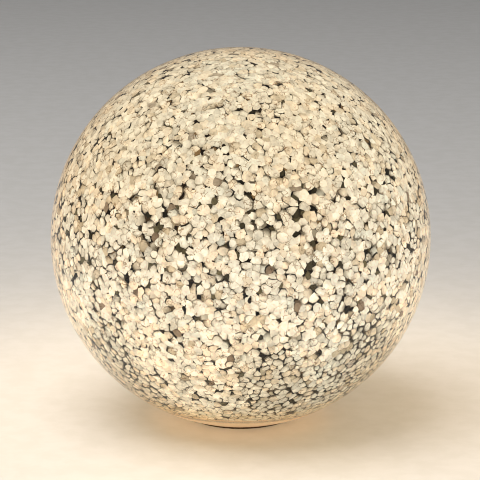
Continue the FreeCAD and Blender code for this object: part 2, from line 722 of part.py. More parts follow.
def make_cell(number, angle, upside_down):
    body = turned(f"battery_{number}", [
        ("0", "0"),
        ("cell_radius - cell_edge", "0"),
        ("cell_radius", "cell_edge"),
        ("cell_radius", "cell_length - nub_height - cell_edge"),
        ("cell_radius - cell_edge", "cell_length - nub_height"),
        ("nub_radius", "cell_length - nub_height"),
        ("nub_radius", "cell_length"),
        ("0", "cell_length"),
    ])
    across, along = polar("cell_circle", angle)
    if upside_down:
        top = "holder_lid - plate_thickness - spring_height"
        place(body, across, along, top, HALF_TURN, Vector(1, 0, 0))
    else:
        place(body, across, along, "cell_base")


def wound_path(turns, first_radius, last_radius, height):
    """The middle line of a spring that winds up the Z axis, as two arcs for each half turn."""
    def spot(share):
        angle = FULL_TURN * turns * share
        reach = first_radius + (last_radius - first_radius) * share
        return Vector(reach, 0, height * share), angle

    def point(share):
        flat, angle = spot(share)
        return Rotation(Vector(0, 0, 1), angle).multVec(flat)

    def direction(share):
        flat, angle = spot(share)
        sideways = math.radians(FULL_TURN * turns) * flat.x
        ahead = Vector(last_radius - first_radius, sideways, height)
        return Rotation(Vector(0, 0, 1), angle).multVec(ahead.normalize())

    def arc(start, corner, stop):
        middle = (start + stop) * 0.5
        half_chord = (stop - start).Length / 2
        lean = (corner - start).getAngle(stop - start)
        bow = (corner - middle).normalize() * (half_chord * math.tan(lean / 2))
        return Part.Arc(start, middle + bow, stop).toShape()

    pieces = 2 * turns
    arcs = []
    for piece in range(pieces):
        start, stop = point(piece / pieces), point((piece + 1) / pieces)
        leave, arrive = direction(piece / pieces), direction((piece + 1) / pieces)
        across = stop - start
        both = leave + arrive
        square = 2 * (1 - leave.dot(arrive))
        lean = across.dot(both)
        reach = (math.sqrt(lean * lean + square * across.dot(across)) - lean) / square
        near, far = start + leave * reach, stop - arrive * reach
        joint = (near + far) * 0.5
        arcs += [arc(start, near, joint), arc(joint, far, stop)]
    return Part.Wire(arcs), direction(0), point


STEPS_PER_TURN = 48


def least_self_gap(point, turns, wire):
    """Least distance between the surfaces of two turns, measured on points of the middle line."""
    steps = STEPS_PER_TURN * turns
    spots = [point(step / steps) for step in range(steps + 1)]
    gaps = [
        (spots[first] - spots[second]).Length
        for first in range(len(spots))
        for second in range(first + STEPS_PER_TURN // 2, len(spots))
    ]
    return min(gaps) - 2 * wire


def make_spring(label, turns, first, last, height, seat, across="0", along="0", upside_down=False):
    wire = value("spring_wire")
    path, ahead, point = wound_path(turns, value(first), value(last), value(height) - 2 * wire)
    section = Part.Wire(Part.Circle(point(0), ahead, wire).toShape())
    coil = path.makePipeShell([section], True, False)
    print(f"{label}: least gap between turns {least_self_gap(point, turns, wire):.2f} mm")
    spring = doc.addObject("Part::Feature", label)
    spring.Label = label
    spring.Shape = coil
    base = Vector(value(across), value(along), value(seat))
    if upside_down:
        spring.Placement = Placement(base - Vector(0, 0, wire), Rotation(Vector(1, 0, 0), HALF_TURN))
    else:
        spring.Placement = Placement(base + Vector(0, 0, wire), Rotation())


SPRING_TURNS = 3


def make_cells():
    for number in range(COPIES):
        angle = FIRST_CELL + number * FULL_TURN // COPIES
        upside_down = number == 1
        make_cell(number + 1, angle, upside_down)
        across, along = polar("cell_circle", angle)
        seat = "holder_lid - plate_thickness" if upside_down else "plate_level + plate_thickness"
        make_spring(f"cell_spring_{number + 1}", SPRING_TURNS, "spring_foot_radius",
                    "spring_tip_radius", "spring_height", seat, across, along, upside_down)


def make_plate(label, level, start, stop, turn):
    """A contact plate at one cell, with a tongue between two distances from the axis."""
    body = new_body(label)
    add_pad(body, level, "plate_thickness", [(draw_circle, "cell_circle", "0", "plate_radius")])
    add_pad(body, level, "plate_thickness", [
        (draw_rectangle, f"(({start}) + ({stop})) / 2", "0", f"({stop}) - ({start})", "bar_width"),
    ])
    place(body, turn=turn)


def make_bridge(label, level, turn):
    """A contact plate across two neighbouring cells; the turn points to the gap between them."""
    body = new_body(label)
    aside = "sqrt(3) / 2 * cell_circle"
    add_pad(body, level, "plate_thickness", [
        (draw_circle, "cell_circle / 2", aside, "plate_radius"),
        (draw_circle, "cell_circle / 2", f"-({aside})", "plate_radius"),
    ])
    add_pad(body, level, "plate_thickness", [
        (draw_rectangle, "cell_circle / 2", "0", "bar_width", f"2 * ({aside})"),
    ])
    place(body, turn=turn)


def make_contacts():
    second_cell = FIRST_CELL + FULL_TURN / COPIES
    last_cell = second_cell + FULL_TURN / COPIES
    top = "holder_lid - plate_thickness"
    make_bridge("bottom_bridge", "plate_level", (FIRST_CELL + second_cell) / 2)
    make_bridge("top_bridge", top, (second_cell + last_cell) / 2)
    make_plate("bottom_plate", "plate_level", "cell_circle", "tongue_end", last_cell)
    make_plate("top_plate", top, "-button_stem_radius", "cell_circle", FIRST_CELL)

    turned("positive_button", [
        ("0", "holder_lid"),
        ("button_stem_radius", "holder_lid"),
        ("button_stem_radius", "holder_top_level"),
        ("button_radius", "holder_top_level"),
        ("button_radius", "holder_top_level + button_height"),
        ("0", "holder_top_level + button_height"),
    ])
    flat_ring("negative_ring", "contact_ring_inner", "contact_ring_outer",
              "holder_top_level", "holder_top_level + plate_thickness")

    strip = new_body("negative_strip")
    sketch = new_sketch(strip, "YZ_Plane")
    draw_outline(sketch, [
        ("-tongue_end", "plate_level"),
        ("-strip_outer", "plate_level"),
        ("-strip_outer", "holder_top_level + plate_thickness"),
        ("-contact_ring_outer", "holder_top_level + plate_thickness"),
        ("-contact_ring_outer", "holder_top_level"),
        ("-strip_inner", "holder_top_level"),
        ("-strip_inner", "plate_level + plate_thickness"),
        ("-tongue_end", "plate_level + plate_thickness"),
    ])
    pad = strip.newObject("PartDesign::Pad", "negative_strip_pad")
    pad.Profile = sketch
    pad.Midplane = True
    pad.setExpression("Length", bound("strip_width"))


def make_contact_springs():
    make_spring("centre_spring", SPRING_TURNS, "contact_spring_radius", "contact_spring_radius",
                "board_level - holder_top_level - button_height", "holder_top_level + button_height")
    across, along = polar("contact_circle", RING_CONTACT)
    make_spring("ring_spring", SPRING_TURNS, "contact_spring_radius", "contact_spring_radius",
                "board_level - holder_top_level - plate_thickness", "holder_top_level + plate_thickness",
                across, along)


def make_board():
    body = new_body("led_board")
    add_pad(body, "board_level", "board_thickness", [(draw_circle, "0", "0", "board_radius")])
    spot = polar("board_screw_circle", FIRST_BOSS)
    hole = add_pocket(body, "board_top + overrun", "board_thickness + 2 * overrun", [
        (draw_circle, *spot, "board_screw_radius + seat_gap"),
    ])
    add_copies(body, [hole], COPIES)

    leds = new_body("leds")
    lamp = add_pad(leds, "board_top", "lamp_height", [
        (draw_rectangle, "lamp_circle", "0", "lamp_width", "lamp_length"),
    ])
    add_copies(leds, [lamp], "lamp_count")

    chip = new_body("driver_chip")
    add_pad(chip, "board_top", "chip_height", [
        (draw_rectangle, "0", "chip_offset", "chip_length", "chip_width"),
    ])
    resistors = new_body("resistors")
    add_pad(resistors, "board_top", "resistor_height", [
        (draw_rectangle, "resistor_offset", "0", "resistor_width", "resistor_length"),
        (draw_rectangle, "-resistor_offset", "0", "resistor_width", "resistor_length"),
    ])
    capacitor = new_body("capacitor")
    add_pad(capacitor, "board_top", "capacitor_height", [
        (draw_circle, "0", "-capacitor_offset", "capacitor_radius"),
    ])


def make_dome():
    inner = "dome_radius - dome_wall"
    shoulder = "tray_top + dome_skirt"
    turned("diffuser_dome", [
        (inner, "tray_top"),
        ("dome_radius", "tray_top"),
        ("dome_radius", shoulder, "0", shoulder),
        ("0", f"{shoulder} + dome_radius"),
        ("0", f"{shoulder} + {inner}", "0", shoulder),
        (inner, shoulder),
    ])


def make_switch():
    case = new_body("switch_body")
    add_pad(case, "block_top", "switch_height", [
        (draw_rectangle, "0", "switch_reach", "switch_length", "switch_width"),
    ])
    add_pad(case, "block_top", "switch_ear_thickness", [
        (draw_rectangle, "0", "switch_reach", "switch_ear_length", "switch_ear_width"),
    ])
    add_pocket(case, "block_top + stem_rise + slide_gap", "stem_rise + slide_gap + overrun", [
        (draw_rectangle, "0", "switch_reach", "slot_length", "slot_width"),
    ])
    add_pocket(case, "block_top + switch_ear_thickness + overrun", "switch_ear_thickness + 2 * overrun", [
        (draw_circle, "switch_screw_spacing / 2", "switch_reach", "switch_screw_radius + seat_gap"),
        (draw_circle, "-switch_screw_spacing / 2", "switch_reach", "switch_screw_radius + seat_gap"),
    ])

    knob = new_body("switch_knob")
    add_pad(knob, "knob_top - knob_height", "knob_height", [
        (draw_rectangle, "0", "switch_reach", "knob_length", "knob_width"),
    ])
    add_pad(knob, "knob_top - knob_height / 2", "block_top + stem_rise - knob_top + knob_height / 2", [
        (draw_rectangle, "0", "switch_reach", "stem_length", "stem_width"),
    ])

    terminals = new_body("switch_terminals")
    add_pad(terminals, "switch_top", "terminal_height", [
        (draw_rectangle, "-terminal_spacing", "switch_reach", "terminal_length", "terminal_width"),
        (draw_rectangle, "0", "switch_reach", "terminal_length", "terminal_width"),
        (draw_rectangle, "terminal_spacing", "switch_reach", "terminal_length", "terminal_width"),
    ])

    screws = new_body("switch_screws")
    spots = [("switch_screw_spacing / 2", "switch_reach"), ("-switch_screw_spacing / 2", "switch_reach")]
    seat = "block_top + switch_ear_thickness"
    add_pad(screws, f"{seat} - switch_screw_length", "switch_screw_length", [
        (draw_circle, *spot, "switch_screw_radius") for spot in spots
    ])
    add_pad(screws, seat, "switch_screw_head_height", [
        (draw_circle, *spot, "switch_screw_head") for spot in spots
    ])


# A bend of a lead takes this share of its shorter run
BEND_SHARE = 0.45


def make_lead(label, side):
    """A lead from a terminal up along the tube to the board, as straight runs and tangent arcs."""
    start = Vector(side * value("terminal_spacing"), value("switch_reach"), value("terminal_top"))
    up = start + Vector(0, 0, value("lead_rise"))
    beside = Vector(side * value("lead_spacing") / 2, value("lead_reach"), up.z + value("lead_slope"))
    stop = Vector(beside.x, beside.y, value("board_level"))
    corners = [start, up, beside, stop]
    edges = []
    here = start
    for before, corner, after in zip(corners, corners[1:], corners[2:]):
        arriving, leaving = (corner - before).normalize(), (after - corner).normalize()
        turn = arriving.getAngle(leaving)
        reach = BEND_SHARE * min((corner - before).Length, (after - corner).Length)
        radius = reach / math.tan(turn / 2)
        print(f"{label}: bend radius {radius:.1f} mm")
        first, last = corner - arriving * reach, corner + leaving * reach
        inward = (leaving - arriving).normalize()
        middle = corner + inward * (radius / math.cos(turn / 2) - radius)
        edges += [Part.LineSegment(here, first).toShape(), Part.Arc(first, middle, last).toShape()]
        here = last
    edges.append(Part.LineSegment(here, stop).toShape())
    section = Part.Wire(Part.Circle(start, up - start, value("lead_radius")).toShape())
    lead = doc.addObject("Part::Feature", label)
    lead.Label = label
    lead.Shape = Part.Wire(edges).makePipeShell([section], True, False)
    lead.Placement = Placement()


make_globe()
make_lining()
make_dish()
make_seal()
flat_ring("foot_ring", "foot_inner", "foot_outer", "0", "groove_roof")
make_cap()
make_cap_ring()
make_pad()
flat_ring("tube_gasket", "neck_bore", "neck_bore + gasket_width", "neck_top", "boss_top")
make_tube()
make_screws("tube_screws", "boss_circle", FIRST_BOSS, "boss_top + tube_flange", "tube_screw_radius",
            "tube_screw_length", "tube_screw_head", "tube_screw_head_height")
make_holder()
make_cells()
make_contacts()
make_contact_springs()
make_board()
make_screws("board_screws", "board_screw_circle", FIRST_BOSS, "board_top", "board_screw_radius",
            "board_screw_length", "board_screw_head", "board_screw_head_height")
make_dome()
make_switch()
make_lead("lead_red", -1)
make_lead("lead_black", 1)

doc.recompute()

# Every object has to be sound before anything is written
for item in doc.Objects:
    if {"Invalid", "Error"} & set(item.State):
        raise RuntimeError(f"{item.Label} is {item.State}")
for before, cut in CUTS:
    if cut.Shape.Volume >= before.Shape.Volume:
        raise RuntimeError(f"{cut.Label} cuts nothing")
pieces = [item for item in doc.Objects if item not in TOOLS and item.TypeId in (
    "PartDesign::Body", "Part::Feature", "Part::Cut", "Part::Torus", "Part::Cylinder")]
for piece in pieces:
    if piece.Shape.isNull() or not piece.Shape.isValid() or piece.Shape.Volume <= 0:
        raise RuntimeError(f"{piece.Label} has no sound shape")

os.makedirs("parts", exist_ok=True)
for piece in pieces:
    piece.Shape.exportStep(f"parts/{piece.Label}.step")
    print(f"{piece.Label}: {len(piece.Shape.Solids)} solid(s), {piece.Shape.Volume:.1f} mm3")
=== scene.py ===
# %% [markdown]
# # A glass globe light
# The lamp is a closed ball of clear glass that stands on a small dish. Thousands of cream granules are
# glued to the inside of the glass, and a light engine in the middle makes them glow.
# The shapes that fasten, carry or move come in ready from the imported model. This file dresses them and
# makes what only the eye needs: the granules, the raised marks, the light and the camera.
# Everything is in metres, and every piece is made where it belongs.

# %% Load the frame
import math

import bmesh
import bpy
import numpy as np
from mathutils import Matrix, Vector, kdtree


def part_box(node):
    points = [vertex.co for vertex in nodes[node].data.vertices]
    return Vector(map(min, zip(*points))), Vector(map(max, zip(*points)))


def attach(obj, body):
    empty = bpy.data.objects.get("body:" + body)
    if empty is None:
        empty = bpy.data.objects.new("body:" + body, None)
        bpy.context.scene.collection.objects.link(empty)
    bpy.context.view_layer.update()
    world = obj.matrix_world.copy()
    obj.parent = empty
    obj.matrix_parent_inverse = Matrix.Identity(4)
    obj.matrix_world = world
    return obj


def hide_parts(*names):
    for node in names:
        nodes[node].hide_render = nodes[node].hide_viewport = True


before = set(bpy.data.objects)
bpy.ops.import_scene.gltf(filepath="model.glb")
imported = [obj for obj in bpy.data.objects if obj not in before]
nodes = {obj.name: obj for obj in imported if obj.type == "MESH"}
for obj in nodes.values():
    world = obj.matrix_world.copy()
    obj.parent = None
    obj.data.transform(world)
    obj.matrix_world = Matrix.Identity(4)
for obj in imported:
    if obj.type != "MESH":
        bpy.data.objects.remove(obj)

MM = 0.001
scene = bpy.context.scene
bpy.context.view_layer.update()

# %% [markdown]
# ## Measures of the ball
# The granules have to lie between the glass and the lamp's own lining, so their radii are read from the
# model's vertices. Reading a size from what is there keeps the scene right if the model changes.

# %% Measure the ball and its lining
globe_low, globe_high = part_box("glass_globe")
BALL = (globe_high.x - globe_low.x) / 2
CENTRE = Vector((0.0, 0.0, globe_high.z - BALL))
EDGE_HEIGHT = 0.5 * MM  # the lining's lowest vertices, up to this height, are its edge


def vertices_of(node):
    """The places of a node's vertices, one row each."""
    return np.array([v.co for v in nodes[node].data.vertices])


def reach(node):
    """How far a node's vertices lie from the ball's centre."""
    return np.linalg.norm(vertices_of(node) - np.array(CENTRE), axis=1)


GLASS_INNER = reach("glass_globe").min()
LINING_OUTER = reach("granule_lining").max()
LINING_INNER = reach("granule_lining").min()
edge = vertices_of("granule_lining")
edge = edge[edge[:, 2] < edge[:, 2].min() + EDGE_HEIGHT]
MOUTH = np.hypot(edge[:, 0], edge[:, 1]).min()
print(f"ball {BALL / MM:.1f}, glass inside {GLASS_INNER / MM:.2f}, lining {LINING_OUTER / MM:.2f}"
      f" to {LINING_INNER / MM:.2f}, mouth {MOUTH / MM:.2f} mm")

# %% [markdown]
# ## Camera
# A ball's outline is where the line of sight touches it. So the lens is the outline's radius in
# pixels, times the length of the touching line, over the ball's radius. A tiny shift moves the ball
# within the frame without turning the camera.

# %% Place the camera
FRAME_PIXELS = 480
BALL_PIXELS = 190.3  # the outline's radius
SHIFT_PIXELS = (-0.7, -3.0)
CAMERA_DISTANCE = 0.9
CAMERA_RISE = math.radians(12.7)
SENSOR = 36.0
FARTHEST_SEEN = 30.0


def new_object(name, data):
    """Puts a mesh, a lamp or a camera into the scene."""
    thing = bpy.data.objects.new(name, data)
    scene.collection.objects.link(thing)
    return thing


camera_data = bpy.data.cameras.new("camera")
touching_line = math.sqrt(CAMERA_DISTANCE**2 - BALL**2)
camera_data.sensor_width = SENSOR
camera_data.lens = BALL_PIXELS * touching_line / BALL * SENSOR / FRAME_PIXELS
camera_data.shift_x, camera_data.shift_y = [pixels / FRAME_PIXELS for pixels in SHIFT_PIXELS]
camera_data.clip_end = FARTHEST_SEEN
camera = new_object("camera", camera_data)
to_camera = Vector((0.0, -math.cos(CAMERA_RISE), math.sin(CAMERA_RISE)))
camera.location = CENTRE + to_camera * CAMERA_DISTANCE
camera.rotation_euler = (-to_camera).to_track_quat("-Z", "Y").to_euler()
scene.camera = camera
print(f"lens {camera_data.lens:.1f} mm")

# %% [markdown]
# ## Helpers for materials
# A material is a small tree of nodes, and a group is a tree that several materials share, each with
# its own values. A few helpers keep both short to write.

# %% Helpers for node trees
def linear(red, green, blue):
    """A colour given in screen values from 0 to 255, as Blender's linear numbers."""
    shares = [value / 255 for value in (red, green, blue)]
    return [s / 12.92 if s < 0.04045 else ((s + 0.055) / 1.055) ** 2.4 for s in shares] + [1.0]


def join(tree, value, socket):
    """Joins an output to an input, or sets the input if value is a plain number or colour."""
    if isinstance(value, bpy.types.NodeSocket):
        tree.links.new(value, socket)
    else:
        socket.default_value = value


def join_all(tree, node, inputs):
    """inputs is a dictionary from the name or number of a node's input to a value or an output."""
    for key, value in dict(inputs).items():
        join(tree, value, node.inputs[key])


def add_node(tree, kind, inputs=(), **settings):
    node = tree.nodes.new("ShaderNode" + kind)
    for key, value in settings.items():
        setattr(node, key, value)
    join_all(tree, node, inputs)
    return node


def new_material(name):
    material = bpy.data.materials.new(name)
    material.use_nodes = True
    return material, material.node_tree, material.node_tree.nodes["Principled BSDF"]


def new_group(name, inputs, outputs):
    """Starts a group. inputs and outputs are dictionaries from a socket's name to its kind."""
    group = bpy.data.node_groups.new(name, "ShaderNodeTree")
    for way, sockets in (("INPUT", inputs), ("OUTPUT", outputs)):
        for label, kind in sockets.items():
            group.interface.new_socket(label, in_out=way, socket_type="NodeSocket" + kind)
    given, out = group.nodes.new("NodeGroupInput"), group.nodes.new("NodeGroupOutput")
    return group, given.outputs, out


def use_group(tree, group, **inputs):
    """Places a group in a material. Names with an underscore stand for names with a space."""
    inputs = {key.replace("_", " "): value for key, value in inputs.items()}
    return add_node(tree, "Group", inputs, node_tree=group).outputs


# %% Helpers for single nodes
def math_node(tree, operation, first, second=0.0, clamp=False):
    inputs = {0: first, 1: second}
    return add_node(tree, "Math", inputs, operation=operation, use_clamp=clamp).outputs[0]


def vector_math(tree, operation, inputs, output=0):
    return add_node(tree, "VectorMath", inputs, operation=operation).outputs[output]


def mix_colours(tree, share, first, second, blend="MIX"):
    inputs = {0: share, 6: first, 7: second}
    return add_node(tree, "Mix", inputs, data_type="RGBA", blend_type=blend).outputs[2]


def map_range(tree, value, low, high, to_low=0.0, to_high=1.0, smooth=False):
    inputs = {0: value, 1: low, 2: high, 3: to_low, 4: to_high}
    kind = "SMOOTHSTEP" if smooth else "LINEAR"
    return add_node(tree, "MapRange", inputs, interpolation_type=kind).outputs[0]


def own_place(tree):
    """Where a point of the surface lies on its own object."""
    return add_node(tree, "TexCoord").outputs["Object"]


def noise(tree, place, scale, detail, roughness=0.5, output=0):
    inputs = {"Vector": place, "Scale": scale, "Detail": detail, "Roughness": roughness}
    return add_node(tree, "TexNoise", inputs).outputs[output]


def bump(tree, shader, height, distance, strength=1.0):
    """Leads a height through a Bump node to the shader's Normal. distance is in metres."""
    inputs = {"Strength": strength, "Distance": distance, "Height": height}
    join(tree, add_node(tree, "Bump", inputs).outputs[0], shader.inputs["Normal"])


# %% [markdown]
# ## Shared effects
# No moulded, turned or drawn surface has one even colour. Three groups are used again and again: a
# soft mottling with a fine grain, edges that handling has rubbed lighter, and the streaks of brushed
# or turned metal.

# %% Mottling and grain
# two noises: a broad one shifts the colour, and a fine one gives the height of a grain
GRAIN, given, out = new_group(
    "mottled grain",
    {"Colour": "Color", "Second Colour": "Color", "Patch Size": "Float", "Grain Size": "Float"},
    {"Colour": "Color", "Height": "Float", "Patches": "Float"})
place = own_place(GRAIN)
broad = noise(GRAIN, place, math_node(GRAIN, "DIVIDE", 1.0, given["Patch Size"]), 3.0, 0.6)
fine = noise(GRAIN, place, math_node(GRAIN, "DIVIDE", 1.0, given["Grain Size"]), 2.0)
patches = map_range(GRAIN, broad, 0.35, 0.65, smooth=True)
join_all(GRAIN, out, {"Colour": mix_colours(GRAIN, patches, given["Colour"], given["Second Colour"]),
                      "Height": fine, "Patches": patches})


def mottle(tree, colour, second, patch, grain):
    """Places the mottling in a material. Colours are in screen values, sizes in millimetres."""
    return use_group(tree, GRAIN, Colour=linear(*colour), Second_Colour=linear(*second),
                     Patch_Size=patch * MM, Grain_Size=grain * MM)


def glowing(name, colour, second, patch, grain, depth, strength, inputs):
    """A mottled material with emission: the lamps' own light, painted light elsewhere. inputs are more
    inputs of the shader.
    """
    material, tree, shader = new_material(name)
    mottled = mottle(tree, colour, second, patch, grain)
    own = {"Base Color": mottled["Colour"], "Emission Color": mottled["Colour"]}
    join_all(tree, shader, {**own, **inputs})
    bump(tree, shader, mottled["Height"], depth * MM, strength)
    return material


print("made", GRAIN.name)

# %% Rubbed edges
# Pointiness is high on outer edges, and a noise breaks it up, so that the wear isn't even
RUBBED, given, out = new_group(
    "rubbed edges", {"Colour": "Color", "Worn Colour": "Color", "Amount": "Float"}, {"Colour": "Color"})
sharp = map_range(RUBBED, add_node(RUBBED, "NewGeometry").outputs["Pointiness"], 0.52, 0.60)
broken = map_range(RUBBED, noise(RUBBED, own_place(RUBBED), 900.0, 4.0), 0.35, 0.62, smooth=True)
wear = math_node(RUBBED, "MULTIPLY", sharp, broken)
wear = math_node(RUBBED, "MULTIPLY", wear, given["Amount"], clamp=True)
join_all(RUBBED, out, {"Colour": mix_colours(RUBBED, wear, given["Colour"], given["Worn Colour"])})
print("made", RUBBED.name)

# %% Streaks of brushed and turned metal
# a noise that is stretched along one direction reads as fine scratches, and dull spots lie over it
TARNISH = (0.62, 0.6, 0.58, 1)
STREAKS, given, out = new_group(
    "metal streaks", {"Colour": "Color", "Stretch": "Vector", "Low": "Float", "High": "Float"},
    {"Colour": "Color", "Roughness": "Float", "Height": "Float"})
place = own_place(STREAKS)
streaks = noise(STREAKS, vector_math(STREAKS, "MULTIPLY", {0: place, 1: given["Stretch"]}), 1.0, 3.0)
spots = map_range(STREAKS, noise(STREAKS, place, 260.0, 3.0), 0.45, 0.75, smooth=True)
dulled = mix_colours(STREAKS, 1.0, given["Colour"], TARNISH, "MULTIPLY")
join_all(STREAKS, out, {
    "Colour": mix_colours(STREAKS, spots, given["Colour"], dulled), "Height": streaks,
    "Roughness": map_range(STREAKS, streaks, 0.3, 0.7, given["Low"], given["High"])})
print("groups:", [g.name for g in bpy.data.node_groups])

# %% [markdown]
# ## Floor and light
# A plain pale floor carries the lamp, and soft light comes from all round and from above, dimmer than
# the granules, so that the lamp looks lit. Backfacing tells the two sides of the floor apart: its lower
# side is transparent, so that the lamp can be looked at from below.

# %% Pale floor
FLOOR_RADIUS = 9.0
FLOOR_DROP = 0.02 * MM
FLOOR_STEPS = 96

floor_mesh = bpy.data.meshes.new("floor")
sheet = bmesh.new()
bmesh.ops.create_circle(sheet, cap_ends=True, segments=FLOOR_STEPS, radius=FLOOR_RADIUS,
                        matrix=Matrix.Translation((0.0, 0.0, -FLOOR_DROP)))
sheet.to_mesh(floor_mesh)
sheet.free()
floor = new_object("floor", floor_mesh)

pale, tree, shader = new_material("pale floor")
mottled = mottle(tree, (206, 203, 199), (201, 198, 193), 11, 1.5)
join_all(tree, shader, {"Base Color": mottled["Colour"], "Roughness": 0.36, "Specular IOR Level": 0.35})
seen_from_below = add_node(tree, "NewGeometry").outputs["Backfacing"]
see_through = add_node(tree, "BsdfTransparent").outputs[0]
both = add_node(tree, "MixShader", {0: seen_from_below, 1: shader.outputs[0], 2: see_through})
join(tree, both.outputs[0], tree.nodes["Material Output"].inputs["Surface"])
floor_mesh.materials.append(pale)
print("floor of", FLOOR_RADIUS, "m")

# %% Soft light
SKY_COLOUR = (0.97, 0.98, 1.0, 1.0)
SKY_STRENGTH = 0.2
SOFT_BOX_POWER = 32.0
SOFT_BOX_SIZE = 1.6
SOFT_BOX_PLACE = (-0.5, -0.3, 1.7)
SOFT_BOX_WAY = Vector((-0.5, -0.3, 1.6))


def add_light(name, kind, power, size, place):
    """A round lamp that the glass doesn't mirror."""
    data = bpy.data.lights.new(name, kind)
    data.energy = power
    if kind == "AREA":
        data.shape, data.size = "DISK", size
    else:
        data.shadow_soft_size = size
    lamp = new_object(name, data)
    lamp.location = place
    lamp.visible_glossy = lamp.visible_transmission = False
    print(name, power, "W")
    return lamp


world = bpy.data.worlds.new("studio")
world.use_nodes = True
join_all(world.node_tree, world.node_tree.nodes["Background"],
         {"Color": SKY_COLOUR, "Strength": SKY_STRENGTH})
scene.world = world
soft_lamp = add_light("soft box", "AREA", SOFT_BOX_POWER, SOFT_BOX_SIZE, SOFT_BOX_PLACE)
soft_lamp.rotation_euler = SOFT_BOX_WAY.to_track_quat("Z", "Y").to_euler()
scene.view_settings.view_transform = "Standard"
scene.cycles.filter_width = 1.0
scene.cycles.use_denoising = True

# %% [markdown]
# The lamp throws a warm pool of light on what it stands on. Light that finds its way out through glass
# is grainy in a short render, so a round lamp of the ball's own size shines from the ball's centre, and
# light linking lets it reach the floor alone.

# %% Warm pool of light
GLOW_POWER = 3.2
GLOW_COLOUR = (1.0, 0.78, 0.50)
GLOW_RISE = 4 * MM


def shine_only_on(lamp, things):
    """Light linking: the lamp lights these things alone, and nothing else stands in its way."""
    lit = bpy.data.collections.new(f"lit by {lamp.name}")
    for thing in things:
        lit.objects.link(thing)
    lamp.light_linking.receiver_collection = lamp.light_linking.blocker_collection = lit
    lamp.visible_camera = False


glow_lamp = add_light("warm pool", "POINT", GLOW_POWER, BALL, CENTRE + Vector((0.0, 0.0, GLOW_RISE)))
glow_lamp.data.color = GLOW_COLOUR
shine_only_on(glow_lamp, [floor])

# %% [markdown]
# ## The glass
# The ball is blown glass, and the granules are set into a clear glue on its inner face. Both bend
# light alike, so seen at a slant the granules reach right up to the ball's outline, where two separate
# shells would show a wide empty rim. So glass and glue are turned on a lathe as one piece. It has the
# bare wall of the glass at the mouth, and further up its inner face lies behind the granules.

# %% A lathe for round pieces
SAME_PLACE = 0.001 * MM
SHARP_ANGLE = math.radians(35)


def smooth_mesh(name, places, faces):
    """A mesh with smooth shading, whose faces all look outwards."""
    mesh = bpy.data.meshes.new(name)
    mesh.from_pydata(places, [], faces)
    solid = bmesh.new()
    solid.from_mesh(mesh)
    bmesh.ops.remove_doubles(solid, verts=solid.verts, dist=SAME_PLACE)
    bmesh.ops.recalc_face_normals(solid, faces=solid.faces)
    solid.to_mesh(mesh)
    solid.free()
    mesh.shade_smooth()
    return mesh


def lathe(name, profile, steps):
    """Turns a closed outline of (radius, height) points round the Z axis. On the axis it is closed."""
    count = len(profile)
    places, faces = [], []
    for turn in range(steps):
        angle = math.tau * turn / steps
        places += [(r * math.cos(angle), r * math.sin(angle), z) for r, z in profile]
        here, there = turn * count, (turn + 1) % steps * count
        for i in range(count):
            j = (i + 1) % count
            faces.append((here + i, there + i, there + j, here + j))
    mesh = smooth_mesh(name, places, faces)
    mesh.set_sharp_from_angle(angle=SHARP_ANGLE)
    return mesh


# %% Ball of glass and glue
# the dark shell of painted shade behind the chips spans these radii, and the glass's inner face lies
# halfway
SHELL_OUTER = LINING_OUTER - 1.95 * MM
SHELL_INNER = LINING_INNER + 0.02 * MM
GLASS_BACK = (SHELL_OUTER + SHELL_INNER) / 2
BARE_WALL = 0.9 * MM  # how far from the mouth the glass has no glue behind it
GLUE_START = 1.6 * MM
GLASS_STEPS = 256
OUTSIDE_POINTS, INSIDE_POINTS = 160, 120


def on_sphere(radius, across, points=1):
    """Points of a sphere, from its lower half at a distance across from the axis up to its top."""
    start = math.pi - math.asin(across / radius)
    angles = np.linspace(start, 0.0, points) if points > 1 else [start]
    return [(radius * math.sin(a), CENTRE.z + radius * math.cos(a)) for a in angles]


def add_piece(mesh, body, replaced=None):
    """Puts a mesh into the scene as a piece that rides on a body of the model."""
    piece = new_object(mesh.name, mesh)
    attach(piece, body)
    if replaced:
        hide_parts(replaced)
    print(mesh.name, len(mesh.polygons), "faces")


profile = on_sphere(BALL, MOUTH, OUTSIDE_POINTS)
profile += on_sphere(GLASS_BACK, MOUTH + GLUE_START, INSIDE_POINTS)[::-1]
profile += on_sphere(GLASS_INNER, MOUTH + BARE_WALL) + on_sphere(GLASS_INNER, MOUTH)
glass_mesh = lathe("clear_ball", profile, GLASS_STEPS)
add_piece(glass_mesh, "lamp", "glass_globe")

# %% [markdown]
# The Principled shader with its Transmission at 1 bends and reflects light as glass does. Blown glass
# is never quite even, so a very weak, broad bump stirs its reflections, and towards the outline, where
# the line of sight passes through more of it, it tints what lies behind.

# %% Clear glass
GLASS_INDEX = 1.45
CLEAR = (1.0, 1.0, 1.0, 1.0)

clear_glass, tree, shader = new_material("clear glass")
slant = add_node(tree, "LayerWeight", {"Blend": 0.35}).outputs["Facing"]
slant = map_range(tree, slant, 0.35, 0.95, smooth=True)
join_all(tree, shader, {"Base Color": mix_colours(tree, slant, CLEAR, linear(255, 226, 188)),
                        "Transmission Weight": 1.0, "Roughness": 0.0, "IOR": GLASS_INDEX})
bump(tree, shader, noise(tree, own_place(tree), 45.0, 1.0), 0.2 * MM, 0.06)
glass_mesh.materials.append(clear_glass)
print("glass of index", GLASS_INDEX)

# %% [markdown]
# ## The granules
# The lining is thousands of flat, rounded chips of 2 to 3.5 mm, packed side by side behind the glass.
# A texture could only paint them. Real chips hide each other at a slant, so the dark gaps close up
# towards the ball's outline, as they do on the real lamp.
#
# First come their places. Points on a golden spiral are evenly spaced on a ball. They are shaken, and
# then neighbours that came too close push each other apart.

